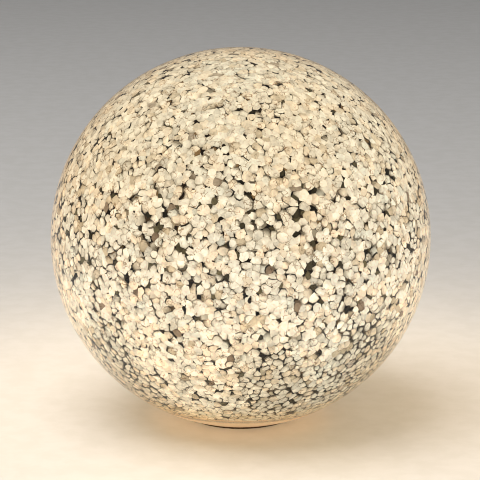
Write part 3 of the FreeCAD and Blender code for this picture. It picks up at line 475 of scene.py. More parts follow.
# %% Scatter points on a ball
SEED = 20
GOLDEN_ANGLE = math.pi * (3 - math.sqrt(5))
PUSHING_NEIGHBOURS = 6
PUSH = 0.35
PUSH_ROUNDS = 2
random = np.random.default_rng(SEED)


def unit(vectors):
    return vectors / np.linalg.norm(vectors, axis=-1, keepdims=True)


def nearest(points, count):
    """For each point, the numbers of its nearest neighbours."""
    tree = kdtree.KDTree(len(points))
    for number, point in enumerate(points):
        tree.insert(point, number)
    tree.balance()
    return np.array([[hit[1] for hit in tree.find_n(point, count + 1)[1:]] for point in points])


def scatter(count, shake):
    """Directions from the ball's centre, unevenly but nowhere crowded."""
    step = np.arange(count) + 0.5
    height = 1 - 2 * step / count
    flat = np.sqrt(1 - height**2)
    turn = step * GOLDEN_ANGLE
    points = np.stack([flat * np.cos(turn), flat * np.sin(turn), height], 1)
    spacing = math.sqrt(4 * math.pi / count)
    points = unit(points + random.normal(0, shake * spacing, points.shape))
    for _ in range(PUSH_ROUNDS):
        away = points[:, None] - points[nearest(points, PUSHING_NEIGHBOURS)]
        gap = np.linalg.norm(away, axis=2, keepdims=True)
        push = away / gap * np.clip(spacing - gap, 0, None)
        points = unit(points + PUSH * push.sum(1))
    return points


def waves(directions, count, pitch, seed):
    """A smooth random field on the ball, about -1 to 1: a sum of a few slow waves."""
    own = np.random.default_rng(seed)
    ways = own.normal(0, 1 / pitch, (count, 3))
    return np.cos(directions @ ways.T + own.uniform(0, math.tau, count)).sum(1) / math.sqrt(count)


def rise(value, low, high):
    """0 below low, 1 above high, and a smooth ramp between them."""
    share = np.clip((value - low) / (high - low), 0, 1)
    return share * share * (3 - 2 * share)


# %% [markdown]
# Each chip fills its own cell: along each direction, the distances to the lines halfway to its
# neighbours are combined with a soft minimum, which also rounds the corners. The outline is scaled, so
# that some chips overlap and others leave gaps, made uneven, and given five levels: underside, outline,
# inner edge of the dark rim, edge of the flat top and middle point. A random tilt lifts one side of the
# chip and sinks the other, as if it had been pressed into glue.

# %% Outlines of the chips
CELL_NEIGHBOURS = 9
SPREAD = 1.38  # chips spread a little into the place of a missing or sunken one
WOBBLES = [(2, 0.09), (3, 0.07)]  # how often round the outline, and how strong
JITTER = 0.06
SMALLEST, LARGEST = 0.2 * MM, 2.6 * MM  # from a chip's middle to its outline


def outlines(points, radius, sides, hardness, missing):
    """Per chip: the distance of its outline in each of its directions, and those directions' angles."""
    around = nearest(points, CELL_NEIGHBOURS)
    spread = np.where(missing, SPREAD, 1.0)
    across = unit(np.cross(points, [0.0, 0.0, 1.0]) + 1e-9)
    along = np.cross(points, across)
    offset = (points[around] - points[:, None]) * spread[around][:, :, None] * radius / 2
    x, y = (offset * across[:, None]).sum(2), (offset * along[:, None]).sum(2)
    half, angle = np.hypot(x, y), np.arctan2(y, x)
    turn = random.uniform(0, math.tau, (len(points), 1)) + np.arange(sides) * math.tau / sides
    facing = np.clip(np.cos(turn[:, :, None] - angle[:, None]), 0.02, None)
    inverse = (facing / half[:, None]) ** hardness[:, None, None]
    return inverse.sum(2) ** (-1 / hardness[:, None]), turn, across, along


def uneven_outline(outline, turn, size):
    count = len(outline)
    uneven = 1
    for often, strength in WOBBLES:
        uneven = uneven + strength * np.sin(often * turn + random.uniform(0, 6, (count, 1)))
    uneven = uneven + random.normal(0, JITTER, uneven.shape)
    return np.clip(outline * size[:, None] * uneven, SMALLEST, LARGEST)


# %% [markdown]
# Most rims are dark on one side of the chip only, in the shape of a crescent, because the light comes
# through the lining at a slant. Deep places are dimmer, and the light differs a little across a chip.

# %% Shapes and light of the chips
# inset from the outline, how many rims' widths further in, depth, light on the bright side and light on
# the dark side of each level, as shares
LEVELS = [
    (0.08, 0.0, 1.0, 0.45, 0.06),
    (0.00, 0.0, 0.45, 0.90, 0.03),
    (0.00, 1.0, 0.12, 0.97, 0.03),
    (0.09, 1.0, 0.03, 1.0, 0.84),
    (1.00, 0.0, 0.0, 1.0, 1.0),
]
RIM_WIDTH = (0.08, 0.32)  # least and most, as a share of the chip
DARKNESS = (0.88, 0.3)  # mean and spread of a rim's darkness
CRESCENT = (-0.3, 0.4)  # cosines between which a rim goes over from bright to dark
LIGHT_SLOPE = 0.11 / MM
LIGHT_JITTER = 0.05
CEILING = (0.22, 0.38)  # mm above the chips' level, where the glass stops them
BUMPINESS = 0.05 * MM
DIM_FROM, DIM_TO, DIMMING = 0.55, 1.4, 0.8  # depths in mm, and the share of light lost there
BROWNING = np.array([0.0, 0.10, 0.26])  # red, green and blue that dark places lose on top


def chip_shapes(points, top, sides, size, hardness, thick, sink, tilt, colour, faintness, all_round,
                wide_rims, missing):
    """The chips' vertices and colours with their painted light and shade, from arrays of one value per
    chip.
    """
    outline, turn, across, along = outlines(points, top, sides, hardness, missing)
    outline = uneven_outline(outline, turn, size)
    count = len(points)
    places, lights = [], []
    lean = tilt[:, None] * np.exp(1j * random.uniform(0, math.tau, (count, 1)))
    ramp = np.exp(1j * random.uniform(0, math.tau, (count, 1))) * LIGHT_SLOPE
    ceiling = top + random.uniform(*CEILING, (count, 1, 1)) * MM
    dark_side = random.uniform(0, math.tau, (count, 1))
    darkness = np.clip(random.normal(*DARKNESS, (count, 1)), 0, 1)
    rim = random.uniform(*RIM_WIDTH, (count, 1)) * wide_rims[:, None]
    for inset, rims, depth, bright, dark in LEVELS:
        width = 1 - inset - rims * rim
        steps = sides if inset < 1 else 1
        x = width * outline[:, :steps] * np.cos(turn[:, :steps])
        y = width * outline[:, :steps] * np.sin(turn[:, :steps])
        height = -depth * thick[:, None] - sink[:, None] + lean.real * x + lean.imag * y
        height = height + random.normal(0, BUMPINESS, height.shape)
        place = points[:, None] * (top + height)[:, :, None]
        place = place + across[:, None] * x[:, :, None] + along[:, None] * y[:, :, None]
        far = np.linalg.norm(place, axis=2, keepdims=True)
        place = place * np.minimum(1, ceiling / far)
        below = (top + 0.2 * MM - np.minimum(far[:, :, 0], top)) / MM
        dim = 1 - DIMMING * rise(below, DIM_FROM, DIM_TO)
        uneven_light = 1 + ramp.real * x + ramp.imag * y + random.normal(0, LIGHT_JITTER, height.shape)
        facing_dark = np.cos(turn[:, :steps] - dark_side) + all_round[:, None]
        side = darkness * rise(facing_dark, *CRESCENT)
        light = (bright + (dark - bright) * side) * dim * uneven_light
        places.append(place)
        lights.append(faintness[:, None] + (1 - faintness[:, None]) * light)
    glow = np.concatenate(lights, 1)[:, :, None]
    browner = 1 - np.clip(1 - glow, 0, 1) * BROWNING
    return np.concatenate(places, 1), glow * browner * colour[:, None]


# %% Chips as one mesh
def chip_mesh(name, places, colours, sides):
    """Joins the levels of every chip with faces. Each chip is closed."""
    count, each = places.shape[:2]
    step = np.arange(sides)
    after = (step + 1) % sides
    rings = len(LEVELS) - 1  # the last level is a single point
    quads = [np.stack([step + low, after + low, after + low + sides, step + low + sides], 1)
             for low in range(0, (rings - 1) * sides, sides)]
    last = (rings - 1) * sides
    fan = np.stack([step + last, after + last, np.full(sides, rings * sides)], 1)
    start = (np.arange(count) * each)[:, None, None]
    faces = (np.concatenate(quads) + start).reshape(-1, 4).tolist()
    faces += (fan + start).reshape(-1, 3).tolist()
    faces += (step[::-1] + start[:, 0]).tolist()
    mesh = bpy.data.meshes.new(name)
    mesh.from_pydata((places.reshape(-1, 3) + np.array(CENTRE)).tolist(), [], faces)
    mesh.shade_smooth()
    layer = mesh.color_attributes.new("chip colour", "FLOAT_COLOR", "POINT")
    rgba = np.concatenate([colours.reshape(-1, 3), np.ones((count * each, 1))], 1)
    layer.data.foreach_set("color", rgba.ravel())
    return mesh


def add_chips(name, places, colours, sides, material):
    """Joins chips to one piece of the lining."""
    mesh = chip_mesh(name, places, colours, sides)
    mesh.materials.append(material)
    add_piece(mesh, "lamp", "granule_lining")


# %% [markdown]
# The chips glow in the colour that each vertex carries, a painted light that stands in for the light
# engine's and is even and free of noise. A little of that colour goes to the Base Color, so that light
# from the room also shows. Their gloss is weak, because a mirrored neighbour would brighten the dark
# gaps. A group adds what is too small for vertices: a fine mottling, tiny pits, facets that each take
# their own share of painted light, and short dark lines of painted shade along creases.

# %% Material of the chips
CREASE_SHADE_COLOUR = linear(150, 118, 84)
CREASE_SHADE_STRENGTH = 0.8


def voronoi(tree, place, scale, output, **settings):
    inputs = {"Vector": place, "Scale": scale}
    return add_node(tree, "TexVoronoi", inputs, **settings).outputs[output]


def grey(tree, value):
    return add_node(tree, "CombineColor", {0: value, 1: value, 2: value}).outputs[0]


group, given, out = new_group(
    "chip light", {"Colour": "Color", "Mottling": "Float", "Body": "Float"},
    {"Glow": "Color", "Body": "Color", "Height": "Float"})
place = own_place(group)
cloud = noise(group, place, 1100.0, 3.0)
stir = noise(group, place, 500.0, 1.0, output="Color")
stir = vector_math(group, "SCALE", {0: stir, "Scale": 1.6 * MM})
bent = vector_math(group, "ADD", {0: place, 1: stir})
# painted shade: thin dark lines along the edges of bent cells, as creases would show them
crease_edges = voronoi(group, bent, 480.0, "Distance", feature="DISTANCE_TO_EDGE")
line = math_node(group, "MULTIPLY", map_range(group, crease_edges, 0.02, 0.06, 1.0, 0.0),
                 map_range(group, noise(group, place, 330.0, 1.0), 0.5, 0.6), clamp=True)
# painted light: each small facet is a little brighter or darker
facet_light = add_node(group, "SeparateColor", {0: voronoi(group, bent, 560.0, "Color")}).outputs[0]
facet_light = map_range(group, facet_light, 0.0, 1.0, 0.86, 1.12)
shade = math_node(group, "SUBTRACT", map_range(group, cloud, 0.3, 0.7, smooth=True), 0.5)
shade = math_node(group, "ADD", math_node(group, "MULTIPLY", shade, given["Mottling"]), 1.0)
shade = grey(group, math_node(group, "MULTIPLY", shade, facet_light))
glow = mix_colours(group, 1.0, given["Colour"], shade, "MULTIPLY")
crease_shaded = mix_colours(group, 1.0, glow, CREASE_SHADE_COLOUR, "MULTIPLY")
glow = mix_colours(group, math_node(group, "MULTIPLY", line, CREASE_SHADE_STRENGTH), glow, crease_shaded)
body = mix_colours(group, 1.0, glow, grey(group, given["Body"]), "MULTIPLY")
height = math_node(group, "ADD", cloud, voronoi(group, place, 1500.0, 0))
join_all(group, out, {"Glow": glow, "Body": body, "Height": height})
CHIP_LIGHT = group


def granule_material(name, mottling, body):
    material, tree, shader = new_material(name)
    colour = add_node(tree, "Attribute", attribute_name="chip colour").outputs["Color"]
    light = use_group(tree, CHIP_LIGHT, Colour=colour, Mottling=mottling, Body=body)
    join_all(tree, shader, {"Base Color": light["Body"], "Emission Color": light["Glow"],
                            "Emission Strength": 1.0, "Roughness": 0.5, "Specular IOR Level": 0.1})
    bump(tree, shader, light["Height"], 0.06 * MM, 0.5)
    return material


cream_granules = granule_material("cream granules", 0.16, 0.3)
deep_granules = granule_material("deep granules", 0.35, 0.2)

# %% [markdown]
# Now the lining itself. Towards the top of the ball it is tight and even. From the middle down it is
# loose, with more small chips and more dark rims. Round the middle the crescents are widest, and near
# the dish the chips are rounder and smaller, with a thin dark line all round. The imported lining has a
# small hollow wherever a chip is missing, so these places are read from its vertices. Some stay empty,
# and in the others a small chip lies deep in the gap, coloured a dark brown of painted shade.

# %% Colours of the chips
KINDS = [  # share of the chips, colour
    (0.62, linear(253, 235, 199)),
    (0.16, linear(254, 227, 184)),
    (0.10, linear(250, 226, 186)),
    (0.06, linear(249, 236, 202)),
    (0.05, linear(218, 192, 150)),
    (0.01, linear(140, 116, 88)),
]
MEAN_COLOUR = np.array(linear(233, 217, 184)[:3])
WARMING = np.array([0.02, -0.01, -0.05])  # red, green and blue that warm patches gain
WHITENING = np.array([0.0, 0.02, 0.08])  # and those that the whitest zone gains


def chip_colours(points, evenness):
    """One colour per chip: its kind, its own brightness, and soft tints over wide patches."""
    kind = np.searchsorted(np.cumsum([share for share, _ in KINDS]), random.random(len(points)) * 0.999)
    colour = np.array([one[:3] for _, one in KINDS])[kind]
    colour = colour * np.clip(random.normal(1.0, 0.1, (len(points), 1)), 0.6, 1.12)
    colour = colour * (1 + waves(points, 8, 0.32, 3)[:, None] * WARMING)
    level = np.exp(-(points[:, 2:] / 0.5)**2)  # chips level with the light engine are whitest
    colour = colour * (0.98 + level * WHITENING)
    return colour + (MEAN_COLOUR - colour) * evenness[:, None] * 0.35


# %% Find the gaps
GAP_DEPTHS = (0.4 * MM, 0.75 * (LINING_OUTER - LINING_INNER))
GAP_WIDTH = 4.2 * MM


def find_gaps():
    """Directions from the ball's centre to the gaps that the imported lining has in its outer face."""
    spots = vertices_of("granule_lining") - np.array(CENTRE)
    depth = LINING_OUTER - np.linalg.norm(spots, axis=1)
    spots = spots[(depth > GAP_DEPTHS[0]) & (depth < GAP_DEPTHS[1])]
    gaps = []
    while len(spots):
        close = np.linalg.norm(spots - spots[0], axis=1) < GAP_WIDTH
        gaps.append(unit(spots[close].mean(0)))
        spots = spots[~close]
    return gaps


# %% Places of the first layer, its zones and its gaps
CHIP_COUNT = 8700
CHIP_SHAKE = 0.36
GAP_REACH = 1.3 * MM  # a gap takes the chip whose middle is nearest, if it is as near as this

points = scatter(CHIP_COUNT, CHIP_SHAKE)
drop = -points[:, 2]  # -1 at the ball's top and 1 at its bottom
loose = rise(drop, -0.66, -0.2)  # 0 round the top of the ball and 1 from its middle down
rounder = rise(drop + 0.2 * waves(points, 14, 0.16, 11), 0.3, 0.75)
middle = np.exp(-((drop + 0.2) / 0.35)**2)
near_edge = rise(drop, 0.72, 0.86)

hole = random.random(CHIP_COUNT) < 0.004
sunken = np.zeros(CHIP_COUNT, bool)
gaps = find_gaps()
for gap in gaps:
    apart = np.linalg.norm(points - gap, axis=1) * LINING_OUTER
    one = apart.argmin()
    if apart[one] < GAP_REACH:
        hole[one] = True
        sunken[one] = random.random() < 1 - 0.45 * loose[one] * (1 - rounder[one])
print(len(gaps), "gaps in the lining,", int((hole & ~sunken).sum()), "chips left out")
sunken |= random.random(CHIP_COUNT) < 0.01 + 0.045 * middle

# %% Shapes of the first layer
# pairs are mean and spread, or least and most
CHIP_SIZE = (1.27, 0.12)
SMALL_CHIPS = (0.66, 0.86)  # as a share of the others
CHIP_HARDNESS = (9, 4)  # of the soft minimum: high ones give sharp corners
CHIP_THICKNESS = (0.7, 1.1)  # mm
CHIP_DEPTH = (1.6, 0.17)  # shape and scale of the depths' spread in mm
CHIP_TILT = 0.26
SUNKEN_SIZE = (0.65, 0.95)
SUNKEN_DEPTH = (0.3, 0.65)  # mm

chip_size = random.normal(*CHIP_SIZE, CHIP_COUNT) - 0.2 * rounder
shrunk = random.random(CHIP_COUNT) < 0.05 + 0.05 * loose
chip_size = np.where(shrunk, chip_size * random.uniform(*SMALL_CHIPS, CHIP_COUNT), chip_size)
chip_hardness = np.clip(random.normal(*CHIP_HARDNESS, CHIP_COUNT) - rounder, 5, 24)
chip_thick = random.uniform(*CHIP_THICKNESS, CHIP_COUNT) * MM
chip_sink = random.gamma(*CHIP_DEPTH, CHIP_COUNT) * (1 - 0.5 * rounder) * MM
chip_size = np.where(sunken, random.uniform(*SUNKEN_SIZE, CHIP_COUNT), chip_size)
chip_sink = np.where(sunken, random.uniform(*SUNKEN_DEPTH, CHIP_COUNT) * MM, chip_sink)
chip_tilt = np.abs(random.normal(0, CHIP_TILT, CHIP_COUNT)) * (1 - 0.55 * rounder)

# %% Colours and rims of the first layer
GAP_SHADE_COLOUR = np.array(linear(154, 138, 98)[:3])
LOW_COLOUR = np.array(linear(192, 174, 140)[:3])  # near the dish the first layer is no darker
EDGE_TAN = np.array([0.04, 0.12, 0.26])  # red, green and blue lost by the chips beside the dish

chip_colour_and_shade = chip_colours(points, 1 - loose) * (0.96 - 0.28 * rounder[:, None])
chip_colour_and_shade = np.maximum(chip_colour_and_shade, LOW_COLOUR * rounder[:, None])
# sunken chips take painted shade: a dark brown, dimmed at random and darker still near the dish
gap_shade = GAP_SHADE_COLOUR * random.uniform(0.01, 0.45, (CHIP_COUNT, 1)) * (1 - 0.7 * rounder[:, None])
chip_colour_and_shade = np.where(sunken[:, None], gap_shade, chip_colour_and_shade)
chip_colour_and_shade = chip_colour_and_shade * (1 - near_edge[:, None] * EDGE_TAN)
outlined = random.random(CHIP_COUNT) < 0.40 + 0.22 * loose + 0.35 * rounder
faintness = np.where(outlined, 0.1 * rounder, random.uniform(0.5, 0.9, CHIP_COUNT))
faintness = np.maximum(faintness, 0.4 * near_edge)
all_round = -0.2 + 0.8 * rounder
wide_rims = 0.9 + 0.5 * middle - 0.15 * rounder

# %% Build the first layer
CHIP_SIDES = 8
CHIP_DROP = 0.36 * MM
EDGE_ROOM = (0.6, 1.7)  # mm from the mouth to the first chips
HALVES_MEET = 0.05  # as a share of the radius, above the ball's middle
SIDES_OF_BALL = ["right", "back", "left", "front"]


def clear_of_mouth(points, room):
    """True where a chip lies on the upper half or farther off the axis than the mouth and its room."""
    off_axis = np.hypot(points[:, 0], points[:, 1]) * LINING_OUTER
    return (points[:, 2] > 0) | (off_axis > MOUTH + room)


kept = clear_of_mouth(points, random.uniform(*EDGE_ROOM, CHIP_COUNT) * MM) & (sunken | ~hole)
places, colours = chip_shapes(
    points, LINING_OUTER - CHIP_DROP, CHIP_SIDES, chip_size, chip_hardness, chip_thick, chip_sink,
    chip_tilt, chip_colour_and_shade, faintness, all_round, wide_rims, hole | sunken)
quarter = ((np.degrees(np.arctan2(points[:, 1], points[:, 0])) + 45) // 90).astype(int) % 4
for number, side in enumerate(SIDES_OF_BALL):
    for half, upper in (("upper", True), ("lower", False)):
        mine = kept & (quarter == number) & ((points[:, 2] > HALVES_MEET) == upper)
        add_chips(f"granules_{side}_{half}", places[mine], colours[mine], CHIP_SIDES, cream_granules)

# %% [markdown]
# Behind the first layer lies a second one, deeper and darkened with painted shade, so that a gap shows
# more chips and not a flat wall. Behind both lies a thin dark shell, a sheet of painted shade.

# %% Second layer
BED_COUNT = 5200
BED_SIDES = 6
BED_DROP = 1.35 * MM
BED_SHAKE = 0.3
BED_SIZE = (0.84, 0.07)
BED_COLOUR = np.array(linear(222, 176, 116)[:3])
LIT_SHARE, LIT, UNLIT = 0.3, (0.05, 0.22), (0.002, 0.025)
BED_ROOM = 1.6 * MM

bed = scatter(BED_COUNT, BED_SHAKE)
bed_loose = rise(-bed[:, 2:], -0.42, -0.02)
# painted shade: most deep chips are nearly black, and a few catch a little light, more towards the top
bed_light = np.where(random.random((BED_COUNT, 1)) < LIT_SHARE, random.uniform(*LIT, (BED_COUNT, 1)),
                    random.uniform(*UNLIT, (BED_COUNT, 1))) * (1.9 - 0.9 * bed_loose)
bed_places, bed_colours = chip_shapes(
    bed, LINING_OUTER - BED_DROP, BED_SIDES, random.normal(*BED_SIZE, BED_COUNT),
    np.full(BED_COUNT, 6.0), np.full(BED_COUNT, 0.5 * MM), random.uniform(0, 0.3, BED_COUNT) * MM,
    np.abs(random.normal(0, 0.1, BED_COUNT)), BED_COLOUR * bed_light, np.full(BED_COUNT, 0.02),
    np.zeros(BED_COUNT), np.ones(BED_COUNT), np.zeros(BED_COUNT, bool))
for half, upper in (("upper", True), ("lower", False)):
    mine = clear_of_mouth(bed, BED_ROOM) & ((bed[:, 2] > 0) == upper)
    add_chips(f"granule_bed_{half}", bed_places[mine], bed_colours[mine], BED_SIDES, deep_granules)

# %% Dark shell of painted shade
SHELL_EDGE = MOUTH + 0.8 * MM
SHELL_POINTS = 60
SHELL_STEPS = 120

profile = on_sphere(SHELL_OUTER, SHELL_EDGE, SHELL_POINTS)
profile += on_sphere(SHELL_INNER, SHELL_EDGE * SHELL_INNER / SHELL_OUTER, SHELL_POINTS)[::-1]
shade_shell_mesh = lathe("glue_shell", profile, SHELL_STEPS)
add_piece(shade_shell_mesh, "lamp", "granule_lining")
# its dark colour and faint glow are painted shade for the depth behind the chips
shade_shell_mesh.materials.append(glowing("dark glue", (60, 44, 26), (32, 23, 13), 2.5, 0.5, 0.2, 0.6, {
    "Emission Strength": 0.1, "Roughness": 0.7, "Specular IOR Level": 0.1}))

# %% [markdown]
# ## Dish and seal
# The dish is moulded of a milky warm plastic. Light from the ball seeps through it, so that it glows
# a little, more at its rim than at the foot. The glow follows the distance from the axis.

# %% Glowing dish
def dress(material, *names):
    """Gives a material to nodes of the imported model. Only their material slots change."""
    for name in names:
        slots = nodes[name].material_slots
        if not slots:
            nodes[name].data.materials.append(material)
        for one in slots:
            one.material = material


GLOW_ZONE = (0.5, 0.96)  # shares of the dish's radius between which its glow grows
dish_low, dish_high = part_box("base_dish")
dish_rim = (dish_high - dish_low).x / 2
milky, tree, shader = new_material("milky plastic")
mottled = mottle(tree, (206, 182, 150), (198, 172, 140), 9, 0.35)
worn = use_group(tree, RUBBED, Colour=mottled["Colour"], Worn_Colour=linear(232, 210, 176), Amount=0.5)
flat = vector_math(tree, "MULTIPLY", {0: own_place(tree), 1: (1.0, 1.0, 0.0)})
off_axis = vector_math(tree, "LENGTH", {0: flat}, "Value")
near_rim = map_range(tree, off_axis, *[share * dish_rim for share in GLOW_ZONE])
glow = mix_colours(tree, near_rim, linear(84, 60, 38), linear(176, 146, 110))
join_all(tree, shader, {"Base Color": worn["Colour"], "Emission Color": glow, "Emission Strength": 0.8,
                        "Roughness": 0.42})
bump(tree, shader, mottled["Height"], 0.03 * MM, 0.5)
dress(milky, "base_dish")

# %% Silicone bead
# The bead glows a little with painted light: the ball's light shining through the clear silicone.
dress(glowing("clear silicone", (222, 200, 166), (208, 184, 148), 3, 0.6, 0.05, 0.6, {
    "Emission Strength": 0.32, "Roughness": 0.3, "Coat Weight": 0.3}), "rim_seal")
print("dish and bead dressed")

# %% [markdown]
# ## Rubber, foam and plain plastics
# Moulded rubber is dark and dull with a fine dusty grain, and plastics differ in colour, gloss and
# grain. One function makes them all from a few values, with rubbed edges where hands reach.

# %% Moulded pieces
def moulded(name, colour, second, roughness, grain, depth, wear=0.0, worn=None, coat=0.0):
    """A moulded material: mottled colour, fine grain and, if asked for, rubbed edges."""
    material, tree, shader = new_material(name)
    mottled = mottle(tree, colour, second, 6, grain)
    result = mottled["Colour"]
    if wear:
        result = use_group(tree, RUBBED, Colour=result, Worn_Colour=linear(*worn), Amount=wear)["Colour"]
    uneven = map_range(tree, mottled["Patches"], 0.0, 1.0, roughness - 0.05, roughness + 0.08)
    join_all(tree, shader, {"Base Color": result, "Roughness": uneven, "Coat Weight": coat})
    bump(tree, shader, mottled["Height"], depth * MM, 0.6)
    return material


dress(moulded("foot rubber", (84, 64, 47), (68, 51, 38), 0.7, 0.25, 0.05, 0.5, (120, 98, 78)),
      "foot_ring")
dress(moulded("seal rubber", (28, 28, 30), (22, 22, 24), 0.5, 0.2, 0.02), "cap_o_ring", "tube_gasket")
dress(moulded("grey foam", (92, 92, 96), (66, 66, 70), 0.95, 0.45, 0.3), "cap_pad")
dress(moulded("white tube plastic", (236, 234, 228), (228, 226, 219), 0.4, 0.3, 0.02, 0.4,
              (250, 249, 246)), "battery_tube")
dress(moulded("black holder plastic", (34, 34, 36), (27, 27, 29), 0.42, 0.3, 0.03, 0.6, (90, 90, 92)),
      "holder_frame", "holder_top")
dress(moulded("chip case", (26, 27, 29), (20, 20, 22), 0.55, 0.12, 0.02), "driver_chip")
dress(moulded("resistor body", (18, 18, 20), (12, 12, 13), 0.35, 0.1, 0.01, 0.9, (200, 200, 204)),
      "resistors")
dress(moulded("knob plastic", (58, 56, 54), (50, 48, 46), 0.5, 0.2, 0.03, 0.8, (126, 122, 118)),
      "switch_knob")
dress(moulded("red insulation", (182, 30, 26), (168, 24, 22), 0.4, 0.3, 0.02, coat=0.2), "lead_red")
dress(moulded("black insulation", (30, 30, 32), (22, 22, 24), 0.4, 0.3, 0.02, coat=0.2), "lead_black")
print("moulded pieces dressed")

# %% [markdown]
# The cap is moulded too, and its plug has a thread. The thread is so fine that a height is enough: it
# climbs one pitch a turn, so a point's height over the pitch, less its turn about the axis, says where
# between two crests it lies. Only the plug's upright side gets it.

# %% Cap with a thread
CAP_PITCH = 2.0 * MM
THREAD_START = 2.2 * MM  # above the cap's face
THREAD_FADE = 0.2 * MM
THREAD_DEPTH = 1.6 * MM

cap_low, cap_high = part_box("battery_cap")
cap_plastic = moulded("cap plastic", (226, 219, 205), (218, 210, 195), 0.45, 0.3, 0.03, 0.6,
                      (244, 240, 232))
tree, shader = cap_plastic.node_tree, cap_plastic.node_tree.nodes["Principled BSDF"]
axes = add_node(tree, "SeparateXYZ", {0: own_place(tree)}).outputs
turns = math_node(tree, "DIVIDE", math_node(tree, "ARCTAN2", axes["Y"], axes["X"]), math.tau)
climb = math_node(tree, "SUBTRACT", math_node(tree, "DIVIDE", axes["Z"], CAP_PITCH), turns)
crest = math_node(tree, "PINGPONG", climb, 0.5)
facing = add_node(tree, "NewGeometry").outputs["Normal"]
upright = math_node(tree, "ABSOLUTE", add_node(tree, "SeparateXYZ", {0: facing}).outputs["Z"])
upright = map_range(tree, upright, 0.3, 0.5, 1.0, 0.0)
start = cap_low.z + THREAD_START
above_face = map_range(tree, axes["Z"], start, start + THREAD_FADE)
thread = math_node(tree, "MULTIPLY", crest, math_node(tree, "MULTIPLY", upright, above_face))
grain_bump = shader.inputs["Normal"].links[0].from_node
inputs = {"Strength": 1.0, "Distance": THREAD_DEPTH, "Height": thread, "Normal": grain_bump.outputs[0]}
join(tree, add_node(tree, "Bump", inputs).outputs[0], shader.inputs["Normal"])
dress(cap_plastic, "battery_cap")
print("thread of", CAP_PITCH / MM, "mm pitch")

# %% [markdown]
# ## Raised marks and ridges
# The cap carries two curved arrows for the way it opens. The knob has ridges for a fingertip, and next
# to it a ring, a bar and a dot stand for its three positions. All are low rounded ridges, so one
# function makes them: it carries a small cross-section along a path, with a half width of its own at
# each point. A path is drawn flat, and a second function lays it on the surface it belongs to.

# %% A ridge along a path
PROFILE = [(-1.0, -0.6), (-0.8, 0.75), (0.0, 1.0), (0.8, 0.75), (1.0, -0.6)]  # across and up, as shares
END_BEND = np.radians([75.0, 50.0, 25.0])  # three more cuts round off each end


def ridge(path, widths, height, lay, closed=False):
    """Vertices and faces of one ridge. path and widths are in metres, and lay puts a point in space."""
    path, widths = np.array(path), np.array(widths)
    if closed:
        ahead = unit(np.roll(path, -1, 0) - np.roll(path, 1, 0))
    else:
        ahead = unit(np.gradient(path, axis=0))
        back, narrow = np.sin(END_BEND)[:, None], np.cos(END_BEND)
        first = path[0] - ahead[0] * widths[0] * back
        last = (path[-1] + ahead[-1] * widths[-1] * back)[::-1]
        path = np.concatenate([first, path, last])
        widths = np.concatenate([widths[0] * narrow, widths, widths[-1] * narrow[::-1]])
        cuts = len(END_BEND)
        ahead = np.concatenate([np.repeat(ahead[:1], cuts, 0), ahead, np.repeat(ahead[-1:], cuts, 0)])
    aside = np.stack([-ahead[:, 1], ahead[:, 0]], 1)
    spots = [lay(*(path[i] + aside[i] * widths[i] * across), height * up)
             for i in range(len(path)) for across, up in PROFILE]
    each, count = len(PROFILE), len(path)
    faces = []
    for i in range(count if closed else count - 1):
        here, there = i * each, (i + 1) % count * each
        for k in range(each):
            after = (k + 1) % each
            faces.append((here + k, there + k, there + after, here + after))
    if not closed:
        faces.append(tuple(range(each)))
        faces.append(tuple((count - 1) * each + k for k in reversed(range(each))))
    return spots, faces


def add_ridges(name, ridges, body, material):
    """Joins ridges to one piece that rides on a body."""
    spots, faces = [], []
    for more_spots, more_faces in ridges:
        faces += [tuple(len(spots) + k for k in face) for face in more_faces]
        spots += more_spots
    mesh = smooth_mesh(name, spots, faces)
    mesh.materials.append(material)
    add_piece(mesh, body)


# %% Arrows on the cap
ARROW_RADIUS = 12.5 * MM
ARROW_STARTS = (127, 307)  # degrees round the axis
ARROW_WIDTH = 0.4 * MM
HEAD_WIDTHS = (1.3, 0.12)  # mm at its wide end and at its tip
MARK_HEIGHT = 0.2 * MM


def arc_path(radius, start, stop, steps, middle=(0.0, 0.0)):
    angles = np.radians(np.linspace(start, stop, steps))
    return np.stack([middle[0] + radius * np.cos(angles), middle[1] + radius * np.sin(angles)], 1)


def under(height):
    """Lays a path on a flat face that looks down."""
    return lambda x, y, lift: (x, y, height - lift)


def arrow(start):
    """A curved shaft of 60 degrees that ends in a head of 14 degrees."""
    shaft = arc_path(ARROW_RADIUS, start, start - 60, 15)
    head = arc_path(ARROW_RADIUS, start - 60.5, start - 74, 5)
    widths = [ARROW_WIDTH] * len(shaft) + list(np.linspace(*HEAD_WIDTHS, len(head)) * MM)
    return ridge(np.concatenate([shaft, head]), widths, MARK_HEIGHT, under(cap_low.z))


printed = moulded("printed marks", (104, 92, 76), (92, 81, 67), 0.5, 0.2, 0.02)
add_ridges("cap_arrows", [arrow(start) for start in ARROW_STARTS], "cap", printed)

# %% Ridges on the knob
RIDGE_STEP = 1.3 * MM
RIDGE_REACH = 1.6 * MM
RIDGE_WIDTH = 0.24 * MM

knob_low, knob_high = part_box("switch_knob")
knob_x, knob_y = (knob_low.x + knob_high.x) / 2, (knob_low.y + knob_high.y) / 2
ridges = []
for x in (knob_x - RIDGE_STEP, knob_x, knob_x + RIDGE_STEP):
    path = [(x, knob_y - RIDGE_REACH), (x, knob_y + RIDGE_REACH)]
    ridges.append(ridge(path, [RIDGE_WIDTH] * 2, MARK_HEIGHT, under(knob_low.z)))
knob_plastic = nodes["switch_knob"].material_slots[0].material
add_ridges("knob_ridges", ridges, "knob", knob_plastic)

